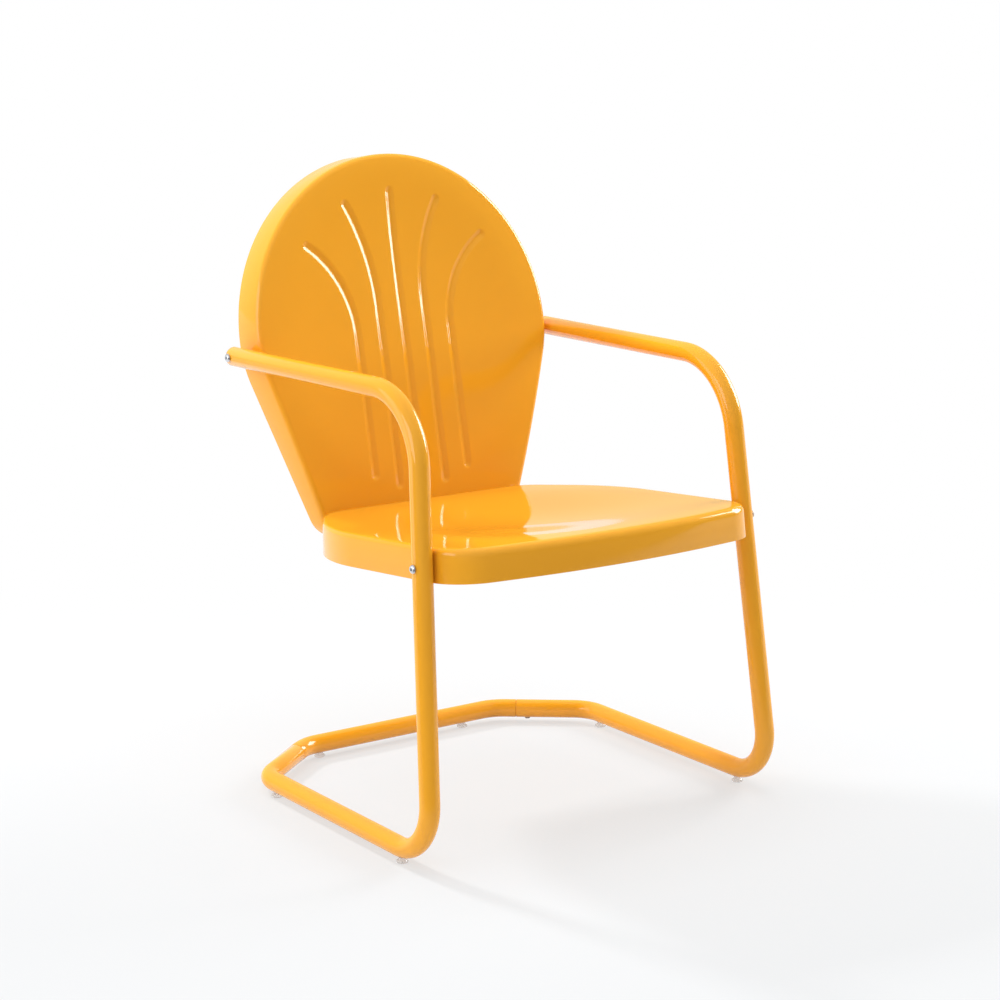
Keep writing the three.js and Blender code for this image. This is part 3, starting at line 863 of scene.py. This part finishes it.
def ring(name, radius, hole, height, edge):
    outer = quarter(radius, height, edge, steps=3)
    lower = [(r, height - z) for r, z in reversed(outer)]
    return turned(name, [(hole, 0), *lower, *outer, (hole, height), (hole, 0)])


def hex_nut():
    nut = begin(
        "nut", bpy.ops.mesh.primitive_cylinder_add, vertices=6, radius=NUT_RADIUS,
        depth=NUT_HEIGHT, location=(0, 0, NUT_HEIGHT / 2),
    )
    flat = NUT_RADIUS * math.cos(math.pi / 6)
    envelope = turned("cutter", [
        (0, 0), (flat, 0), (NUT_RADIUS, NUT_CHAMFER), (NUT_RADIUS, NUT_HEIGHT - NUT_CHAMFER),
        (flat, NUT_HEIGHT), (0, NUT_HEIGHT),
    ])
    finish_with(nut, "corners", "BOOLEAN", operation="INTERSECT", object=envelope)
    remove(envelope)
    drill(nut, [(Vector((0, 0, NUT_HEIGHT / 2)), UP, BOLT_HOLE, 2 * NUT_HEIGHT)])
    finish_with(
        nut, "edges", "BEVEL", width=NUT_EDGE, segments=2, limit_method="ANGLE",
        angle_limit=NUT_SHARP,
    )
    return nut


washer_master = ring("washer", WASHER_RADIUS, BOLT_HOLE, WASHER_HEIGHT, WASHER_EDGE)
nut_master = hex_nut()
report(washer_master)
report(nut_master)

# %% [markdown]
# Each fastening is a bolt through the grip, then washer and nut behind it. The arm and leg
# bolts pass right through the tube and a shell's flange, and three short ones hold the
# seat's rear flange to the foot of the back.

# %% Place the fastenings
fastenings = {"bolt": [], "washer": [], "nut": []}


def fasten(name, bolt_master, head, direction, grip):
    washer_at = grip + WASHER_HEIGHT
    nut_at = washer_at + GAP + NUT_HEIGHT
    for kind, master, behind in (
        ("bolt", bolt_master, 0), ("washer", washer_master, washer_at), ("nut", nut_master, nut_at),
    ):
        place = head - direction * behind
        piece = placed_copy(master, f"{kind}_{name}", place, direction)
        fastenings[kind].append((piece, f"{name}_{kind}"))


def bolt_for(grip):
    length = grip + WASHER_HEIGHT + GAP + NUT_HEIGHT + THREAD_END
    return socket_bolt("bolt", length, BOLT_RADIUS, HEAD_RADIUS, HEAD_HEIGHT, SOCKET_FLAT)


def fasten_tube(spot, axis_point, flange_x):
    reach = TUBE_RADIUS + GAP
    grip = axis_point.x + reach - flange_x
    master = bolt_for(grip)
    for side, sign in SIDES.items():
        outward = OUTWARD * sign
        head = mirrored(axis_point, sign) + outward * reach
        fasten(f"{side}_{spot}", master, head, outward, grip)
    remove(master)


def fasten_seat_to_back():
    grip = 2 * SHEET + 3 * SEAT_BOLT_SLACK
    master = bolt_for(grip)
    depth = back_face(SEAT_BOLT_HEIGHT) + SHEET + SEAT_BOLT_SLACK
    for name, x in SEAT_BOLT_X.items():
        head = Vector((x, depth, SEAT_BOLT_HEIGHT))
        fasten(f"seat_back_{name}", master, head, REARWARD, grip)
    remove(master)


fasten_tube("leg", leg_axis(LEG_BOLT_HEIGHT, 1), SEAT_FLANGE_X)
fasten_tube("arm", arm_axis(ARM_BOLT_INSET, 1), BACK_FLANGE_X)
fasten_seat_to_back()
remove(washer_master, nut_master)
print("fastenings:", {kind: len(pieces) for kind, pieces in fastenings.items()})

# %% [markdown]
# ## Joint screws
# A small screw from below holds each drawn-down end of the cross tube in its side tube.

# %% Model the joint screws
SCREW_LENGTH = 0.008
SCREW_HEAD_RADIUS = 0.0042
SCREW_HEAD_HEIGHT = 0.0022
SCREW_FLAT = 0.0021

screw_master = socket_bolt(
    "screw", SCREW_LENGTH, SCREW_RADIUS, SCREW_HEAD_RADIUS, SCREW_HEAD_HEIGHT, SCREW_FLAT,
)
joint_screws = []
for side, sign in SIDES.items():
    spot = along_chamfer(SEAM_PAST_CORNER + SPIGOT_LENGTH / 2, sign)
    spot.z = FOOT_TOP - GAP
    piece = placed_copy(screw_master, f"screw_{side}_joint", spot, -UP)
    joint_screws.append((piece, f"{side}_joint_screw"))
remove(screw_master)
print("joint screws:", len(joint_screws))

# %% [markdown]
# ## Spacers and arm caps
# A short painted tube keeps each arm off the back's flange, and a domed cap closes the arm's
# rear end. The arm bolt runs through both.

# %% Model spacers and caps
SPACER_RADIUS = 0.007
SPACER_EDGE = 0.0005
CAP_DOME = 0.003
CAP_PLUG = 0.012
CAP_STEPS = 8

spacer_inner = BACK_FLANGE_X + SHEET + 2 * BACK_FLANGE_SLACK
spacer_length = arm_axis(ARM_BOLT_INSET, 1).x - TUBE_RADIUS - GAP - spacer_inner
spacer_master = ring("spacer", SPACER_RADIUS, BOLT_HOLE, spacer_length, SPACER_EDGE)
plug_radius = TUBE_RADIUS - TUBE_WALL - 2 * GAP
crown = [
    (TUBE_RADIUS * math.cos(a), GAP + (CAP_DOME - GAP) * math.sin(a))
    for a in (math.pi / 2 * i / CAP_STEPS for i in range(CAP_STEPS + 1))
]
cap_profile = [(0, -CAP_PLUG), (plug_radius, -CAP_PLUG), (plug_radius, GAP), *crown]
cap_master = turned("cap", cap_profile, TUBE_SIDES)

spacers = []
caps = []
for side, sign in SIDES.items():
    spot = arm_axis(ARM_BOLT_INSET, sign)
    inner = Vector((spacer_inner * sign, spot.y, spot.z))
    spacer = placed_copy(spacer_master, f"spacer_{side}_arm", inner, OUTWARD * sign)
    spacers.append((spacer, f"{side}_arm_spacer"))
    arm_end = mirrored(ARM_END, sign)
    cap = placed_copy(cap_master, f"cap_{side}_arm", arm_end, arm_end - mirrored(ARM_CORNER, sign))
    drill(cap, [(spot, OUTWARD, BOLT_HOLE, DRILL_REACH)])
    caps.append((cap, f"{side}_arm_cap"))
remove(spacer_master, cap_master)
print("spacers and caps:", len(spacers), len(caps))

# %% [markdown]
# ## Foot glides
# Six clear plastic buttons keep the painted tube off the floor. Each has a soft round face,
# a waist and a barbed stem that snaps into a hole in the tube.

# %% Model the foot glides
GLIDE_TOP = FOOT_TOP - GAP
GLIDE_RADIUS = 0.008
GLIDE_NECK = 0.0048
GLIDE_EDGE = 0.0014
GLIDE_SKIRT = 0.0032
STEM_LENGTH = 0.006
BARB = 0.0004
STEM_SHARES = {"narrow": 1 / 3, "barb": 0.5, "behind_barb": 0.7, "taper": 0.8}

stem_at = {name: GLIDE_TOP + STEM_LENGTH * share for name, share in STEM_SHARES.items()}
stem_thin = STEM_RADIUS - BARB
foot_arc = [(r, GLIDE_EDGE - z) for r, z in quarter(GLIDE_RADIUS, GLIDE_EDGE, GLIDE_EDGE)]
glide_master = turned("glide", [
    (0, 0), *reversed(foot_arc), (GLIDE_RADIUS, GLIDE_SKIRT - GLIDE_EDGE / 2),
    (GLIDE_RADIUS - GLIDE_EDGE / 4, GLIDE_SKIRT), (GLIDE_NECK, GLIDE_TOP - GLIDE_EDGE),
    (GLIDE_NECK, GLIDE_TOP), (stem_thin, GLIDE_TOP), (stem_thin, stem_at["narrow"]),
    (STEM_RADIUS, stem_at["barb"]), (stem_thin, stem_at["behind_barb"]),
    (stem_thin, stem_at["taper"]), (STEM_RADIUS / 2, GLIDE_TOP + STEM_LENGTH),
    (0, GLIDE_TOP + STEM_LENGTH),
])
glides = []
for name, (x, depth) in FEET.items():
    piece = placed_copy(glide_master, f"glide_{name}", at(x, depth, 0), UP)
    glides.append((piece, f"{name}_foot_glide"))
remove(glide_master)
print("foot glides:", len(glides))

# %% [markdown]
# ## Shader groups
# An effect that several finishes share is a node group. It puts out only what changes over
# the surface: a colour, a roughness, a height. Numbers that stay the same all over are set on
# the shader's own sockets.

# %% Helpers for node groups and materials
COLOUR_SOCKET = "NodeSocketColor"
NUMBER_SOCKET = "NodeSocketFloat"
GROUP_OUTPUTS = {"Colour": COLOUR_SOCKET, "Roughness": NUMBER_SOCKET, "Height": NUMBER_SOCKET}


def node_group(name, inputs):
    group = bpy.data.node_groups.new(name, "ShaderNodeTree")
    for label, value in inputs.items():
        kind = COLOUR_SOCKET if isinstance(value, tuple) else NUMBER_SOCKET
        socket = group.interface.new_socket(label, in_out="INPUT", socket_type=kind)
        socket.default_value = value
    for label, kind in GROUP_OUTPUTS.items():
        group.interface.new_socket(label, in_out="OUTPUT", socket_type=kind)
    source = group.nodes.new("NodeGroupInput")
    result = group.nodes.new("NodeGroupOutput")
    return group, source, result


def node(tree, kind, **settings):
    made = tree.nodes.new(kind)
    for key, value in settings.items():
        if key in made.inputs:
            made.inputs[key].default_value = value
        else:
            setattr(made, key, value)
    return made


def feed(tree, value, socket):
    """Links an output to a socket, or sets the socket to a plain value."""
    if isinstance(value, bpy.types.NodeSocket):
        tree.links.new(value, socket)
    else:
        socket.default_value = value


def maths(tree, operation, first, second):
    made = node(tree, "ShaderNodeMath", operation=operation)
    feed(tree, first, made.inputs[0])
    feed(tree, second, made.inputs[1])
    return made.outputs[0]


def spread(tree, value, low, high, start=0.0, end=1.0, shape="LINEAR"):
    ramp = node(tree, "ShaderNodeMapRange", interpolation_type=shape)
    for label, given in (
        ("Value", value), ("From Min", start), ("From Max", end), ("To Min", low),
        ("To Max", high),
    ):
        feed(tree, given, ramp.inputs[label])
    return ramp.outputs["Result"]


def speckle(tree, place, scale, detail, roughness=0.5):
    noise = node(tree, "ShaderNodeTexNoise", Detail=detail, Roughness=roughness)
    feed(tree, scale, noise.inputs["Scale"])
    tree.links.new(place.outputs["Object"], noise.inputs["Vector"])
    return noise.outputs["Fac"]


# %% [markdown]
# ## Powder coat
# Powder coat flows out glossy but keeps a faint orange peel, a ripple of a few millimetres.
# Its tone drifts very slightly where the coat lies thicker, and the gloss is a little uneven.

# %% Group for powder coat
TONE_SCALE = 7.0
TONE_DETAIL = 3.0
GLOSS_SCALE = 30.0
GLOSS_DETAIL = 4.0


def powder_coat_group():
    group, source, result = node_group("powder_coat", {
        "Colour": (0.8, 0.4, 0.05, 1), "Tone Drift": 0.05, "Least Roughness": 0.1,
        "Most Roughness": 0.2, "Peel Scale": 300.0,
    })
    links = group.links
    place = node(group, "ShaderNodeTexCoord")
    cloudy = spread(group, speckle(group, place, TONE_SCALE, TONE_DETAIL), -1.0, 1.0)
    drift = maths(group, "MULTIPLY", cloudy, source.outputs["Tone Drift"])
    tone = node(group, "ShaderNodeHueSaturation")
    links.new(source.outputs["Colour"], tone.inputs["Color"])
    links.new(maths(group, "ADD", drift, 1.0), tone.inputs["Value"])
    links.new(tone.outputs["Color"], result.inputs["Colour"])
    uneven = speckle(group, place, GLOSS_SCALE, GLOSS_DETAIL)
    bounds = (source.outputs["Least Roughness"], source.outputs["Most Roughness"])
    links.new(spread(group, uneven, *bounds), result.inputs["Roughness"])
    peel = speckle(group, place, source.outputs["Peel Scale"], 1.0)
    links.new(peel, result.inputs["Height"])
    return group


powder_coat = powder_coat_group()
print("group:", powder_coat.name)

# %% [markdown]
# The whole chair is sprayed in one colour. The large pressed faces flow out a little
# smoother than the tubes, so there are two materials that differ in their roughness only.

# %% Paint materials
PAINT_COLOUR = (0.84, 0.375, 0.019, 1)
TONE_DRIFT = 0.03
PEEL_SCALE = 260.0
PEEL_HEIGHT = 0.00002


def material(name):
    made = bpy.data.materials.new(name)
    made.use_nodes = True
    return made, made.node_tree, made.node_tree.nodes["Principled BSDF"]


def finished(name, group, bump_height, values):
    made, tree, shader = material(name)
    finish = node(tree, "ShaderNodeGroup", node_tree=group, **values)
    tree.links.new(finish.outputs["Colour"], shader.inputs["Base Color"])
    tree.links.new(finish.outputs["Roughness"], shader.inputs["Roughness"])
    bump = node(tree, "ShaderNodeBump", Strength=1.0, Distance=bump_height)
    tree.links.new(finish.outputs["Height"], bump.inputs["Height"])
    tree.links.new(bump.outputs["Normal"], shader.inputs["Normal"])
    return made, shader


def paint(name, least, most):
    made, shader = finished(name, powder_coat, PEEL_HEIGHT, {
        "Colour": PAINT_COLOUR, "Tone Drift": TONE_DRIFT, "Peel Scale": PEEL_SCALE,
        "Least Roughness": least, "Most Roughness": most,
    })
    shader.inputs["IOR"].default_value = 1.5
    return made


frame_paint = paint("orange_powder_coat_frame", 0.05, 0.08)
shell_paint = paint("orange_powder_coat_shells", 0.04, 0.07)
print("paints:", frame_paint.name, shell_paint.name)

# %% [markdown]
# ## Zinc and clear plastic
# The fasteners are bright zinc plate with a fine grain and small dull spots. The glides are
# clear soft plastic, faintly pink, a little cloudy where the mould left flow marks.

# %% Group for small mottled finishes
MOTTLE_DETAIL = 4.0
MOTTLE_ROUGHNESS = 0.6
MIX_FIRST_COLOUR = 6
MIX_SECOND_COLOUR = 7
MIX_COLOUR_RESULT = 2


def mottle_group():
    group, source, result = node_group("mottle", {
        "Colour": (0.8, 0.8, 0.8, 1), "Spot Colour": (0.6, 0.6, 0.6, 1), "Scale": 800.0,
        "Least Roughness": 0.15, "Most Roughness": 0.4,
    })
    links = group.links
    place = node(group, "ShaderNodeTexCoord")
    scale = source.outputs["Scale"]
    grain = speckle(group, place, scale, MOTTLE_DETAIL, MOTTLE_ROUGHNESS)
    mix = node(group, "ShaderNodeMix", data_type="RGBA")
    links.new(grain, mix.inputs["Factor"])
    links.new(source.outputs["Colour"], mix.inputs[MIX_FIRST_COLOUR])
    links.new(source.outputs["Spot Colour"], mix.inputs[MIX_SECOND_COLOUR])
    links.new(mix.outputs[MIX_COLOUR_RESULT], result.inputs["Colour"])
    bounds = (source.outputs["Least Roughness"], source.outputs["Most Roughness"])
    links.new(spread(group, grain, *bounds), result.inputs["Roughness"])
    links.new(grain, result.inputs["Height"])
    return group


mottle = mottle_group()
print("group:", mottle.name)

# %% [markdown]
# Both finishes use the same group with other numbers. What is the same all over, such as
# metal or transmission, is set on the shader itself.

# %% Zinc and clear plastic materials
GRAIN_HEIGHT = 0.00002

zinc, zinc_shader = finished("bright_zinc", mottle, GRAIN_HEIGHT, {
    "Colour": (0.82, 0.83, 0.85, 1), "Spot Colour": (0.6, 0.62, 0.66, 1), "Scale": 1500.0,
    "Least Roughness": 0.12, "Most Roughness": 0.35,
})
zinc_shader.inputs["Metallic"].default_value = 1.0
clear_plastic, plastic_shader = finished("clear_plastic", mottle, GRAIN_HEIGHT, {
    "Colour": (0.95, 0.86, 0.8, 1), "Spot Colour": (0.9, 0.78, 0.7, 1), "Scale": 400.0,
    "Least Roughness": 0.08, "Most Roughness": 0.2,
})
plastic_shader.inputs["Transmission Weight"].default_value = 0.85
plastic_shader.inputs["IOR"].default_value = 1.46
print("materials:", zinc.name, clear_plastic.name)

# %% [markdown]
# ## Riding the frame
# The floor frame stands still, and everything above springs on the two front floor bends. The
# side tubes cross that joint, and are attached to neither body.

# %% Give each piece its finish, hide the nodes it stands for, and attach the rest to bodies
SMOOTH = math.radians(35)


def dress(piece, finish, slot, *nodes):
    only(piece)
    bpy.ops.object.shade_smooth_by_angle(angle=SMOOTH)
    piece.data.materials.clear()
    piece.data.materials.append(finish)
    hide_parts(*nodes)


for side, sign in SIDES.items():
    tube = side_tubes[side]
    dress(tube, frame_paint, "frame_paint", f"{side}_arm_leg_tube", f"{side}_floor_runner")
    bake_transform(tube)

dress(rear_tube, frame_paint, "frame_paint", "rear_cross_tube")
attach(rear_tube, "base_frame")
dress(seat, shell_paint, "shell_paint", "seat_shell")
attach(seat, "seat_frame")
dress(back, shell_paint, "shell_paint", "back_shell")
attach(back, "seat_frame")
small = [
    (fastenings["bolt"] + fastenings["washer"] + fastenings["nut"], zinc, "zinc", "seat_frame"),
    (spacers + caps, frame_paint, "frame_paint", "seat_frame"),
    (joint_screws, zinc, "zinc", "base_frame"),
    (glides, clear_plastic, "clear_plastic", "base_frame"),
]
for pieces, finish, slot, body in small:
    for piece, replaced in pieces:
        dress(piece, finish, slot, replaced)
        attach(piece, body)

# %% [markdown]
# ## Floor
# The studio is white. To the camera the floor mixes a white of its own with the light that
# falls on it, so it stays white and still keeps the chair's soft shadow. Behind the chair,
# and far out on every side, the mix runs into plain white, as a curved paper backdrop does.
# Gloss and clear plastic see this floor too, but in gloss the part in front of the chair is
# darker, which deepens the lower edges. Light that bounces meets a plain pale grey floor.

# %% Helpers for the studio
WHITE = (1, 1, 1, 1)
SOFT = "SMOOTHSTEP"
BACKWARDS = (0.578, 0.816, 0)


def lean_towards(tree, vector, way):
    made = node(tree, "ShaderNodeVectorMath", operation="DOT_PRODUCT")
    tree.links.new(vector, made.inputs[0])
    made.inputs[1].default_value = way
    return made.outputs["Value"]


def mixed(tree, share, first, second):
    mix = node(tree, "ShaderNodeMixShader")
    for value, socket in zip((share, first, second), mix.inputs):
        tree.links.new(value, socket)
    return mix.outputs[0]


def seen_by(tree, *rays):
    path = node(tree, "ShaderNodeLightPath")
    seen = path.outputs[rays[0]]
    for ray in rays[1:]:
        seen = maths(tree, "MAXIMUM", seen, path.outputs[ray])
    return seen


# %% Model the floor
FLOOR_SIZE = 200.0
FLOOR_COLOUR = (0.522, 0.54, 0.558, 1)
FLOOR_GLOW = 0.59
FADE_FROM = 0.1
FADE_TO = 1.1
FAR_FROM = 1.8
FAR_TO = 4.5
DUSK_FROM = -0.3
DUSK_FULL = -1.0
DUSK_SHARE = 0.75
BOUNCE_COLOUR = (0.7, 0.7, 0.7, 1)


def floor_material():
    made, tree, shader = material("studio_floor")
    shader.inputs["Base Color"].default_value = FLOOR_COLOUR
    shader.inputs["Roughness"].default_value = 1.0
    shader.inputs["Specular IOR Level"].default_value = 0.0
    place = node(tree, "ShaderNodeTexCoord").outputs["Object"]
    beyond = lean_towards(tree, place, BACKWARDS)
    fade = spread(tree, beyond, FLOOR_GLOW, 1.0, FADE_FROM, FADE_TO, SOFT)
    away = node(tree, "ShaderNodeVectorMath", operation="LENGTH")
    tree.links.new(place, away.inputs[0])
    far = spread(tree, away.outputs["Value"], 0.0, 1.0, FAR_FROM, FAR_TO, SOFT)
    glow = node(tree, "ShaderNodeEmission", Strength=1.0).outputs[0]
    paper = mixed(tree, maths(tree, "MAXIMUM", fade, far), shader.outputs[0], glow)
    bounce = node(tree, "ShaderNodeBsdfDiffuse", Color=BOUNCE_COLOUR).outputs[0]
    direct = seen_by(tree, "Is Camera Ray", "Is Glossy Ray", "Is Transmission Ray")
    seen = mixed(tree, direct, bounce, paper)
    front = spread(tree, beyond, DUSK_SHARE, 0.0, DUSK_FULL, DUSK_FROM, SOFT)
    in_gloss = maths(tree, "MULTIPLY", front, seen_by(tree, "Is Glossy Ray"))
    dark = node(tree, "ShaderNodeEmission", Strength=0.0).outputs[0]
    surface = mixed(tree, in_gloss, seen, dark)
    tree.links.new(surface, tree.nodes["Material Output"].inputs["Surface"])
    return made


floor = begin("studio_floor", bpy.ops.mesh.primitive_plane_add, size=FLOOR_SIZE)
leave()
floor.data.materials.append(floor_material())
print("floor:", floor.name)

# %% [markdown]
# ## Lamps and room
# The key is a small lamp behind the chair and a little left, so a clear shadow falls
# forwards, and a wide panel overhead lights the seat. These two don't show in the gloss.
# Three soft boxes do. The left one draws the pale left edges of tubes and rims. The strip
# stands on the floor at the rear left and shows in the back's turned edge. The right one
# draws the white lines in the grooves and along the seat's front rim.

# %% Light the scene
LAMPS = {
    "key": {"place": (-0.8, 3.1, 3.0), "size": (0.5, 0.5), "power": 108, "gloss": False},
    "overhead": {"place": (0, 0, 3.2), "size": (2, 2), "power": 40, "gloss": False},
    "left_box": {"place": (-3, -0.3, 1.6), "size": (1.6, 1.6), "power": 22},
    "left_strip": {"place": (-1.9, 0.9, 0.88), "size": (1.0, 1.65), "power": 7},
    "right_box": {"place": (3, -0.25, 1.7), "size": (1.7, 1.5), "power": 92},
}
AIM_AT = Vector((0, 0, 0.45))


def soft_lamp(name, place, size, power, gloss=True):
    bpy.ops.object.light_add(type="AREA", location=place)
    lamp = bpy.context.object
    lamp.name = name
    lamp.data.shape = "RECTANGLE"
    lamp.data.size, lamp.data.size_y = size
    lamp.data.energy = power
    lamp.rotation_euler = (AIM_AT - Vector(place)).to_track_quat("-Z", "Y").to_euler()
    lamp.visible_glossy = gloss


for name, settings in LAMPS.items():
    soft_lamp(name, **settings)


print("lamps:", list(LAMPS))

# %% [markdown]
# The room itself is bright above and dim low down. A low warm wall behind the chair gives the
# seat its pale yellow reflection. The camera and clear plastic see plain white instead.

# %% Model the room
ROOM_DIM = 0.18
ROOM_BRIGHT = 0.78
ROOM_BRIGHT_WAY = (-0.35, 0.35, 0.87)
ROOM_FROM = -0.5
ROOM_TO = 0.9
WALL_GLOW = 0.4
WALL_COLOUR = (1, 0.9, 0.2, 1)
WALL_FROM = 0.2
WALL_FULL = 0.9
WALL_TOP = 0.5


def studio_world():
    world = bpy.data.worlds.new("studio")
    bpy.context.scene.world = world
    world.use_nodes = True
    tree = world.node_tree
    way = node(tree, "ShaderNodeTexCoord").outputs["Generated"]
    room = tree.nodes["Background"]
    room.inputs["Color"].default_value = WHITE
    upwards = lean_towards(tree, way, ROOM_BRIGHT_WAY)
    brightness = spread(tree, upwards, ROOM_DIM, ROOM_BRIGHT, ROOM_FROM, ROOM_TO)
    tree.links.new(brightness, room.inputs["Strength"])
    behind = lean_towards(tree, way, BACKWARDS)
    behind = spread(tree, behind, 0.0, 1.0, WALL_FROM, WALL_FULL, SOFT)
    height = node(tree, "ShaderNodeSeparateXYZ")
    tree.links.new(way, height.inputs[0])
    low = spread(tree, height.outputs["Z"], WALL_GLOW, 0.0, 0.0, WALL_TOP, SOFT)
    wall = node(tree, "ShaderNodeBackground", Color=WALL_COLOUR)
    tree.links.new(maths(tree, "MULTIPLY", behind, low), wall.inputs["Strength"])
    around = node(tree, "ShaderNodeAddShader")
    tree.links.new(room.outputs[0], around.inputs[0])
    tree.links.new(wall.outputs[0], around.inputs[1])
    white = node(tree, "ShaderNodeBackground", Color=WHITE, Strength=1.0)
    direct = seen_by(tree, "Is Camera Ray", "Is Transmission Ray")
    sky = mixed(tree, direct, around.outputs[0], white.outputs[0])
    tree.links.new(sky, tree.nodes["World Output"].inputs["Surface"])
    return world


print("room:", studio_world().name)
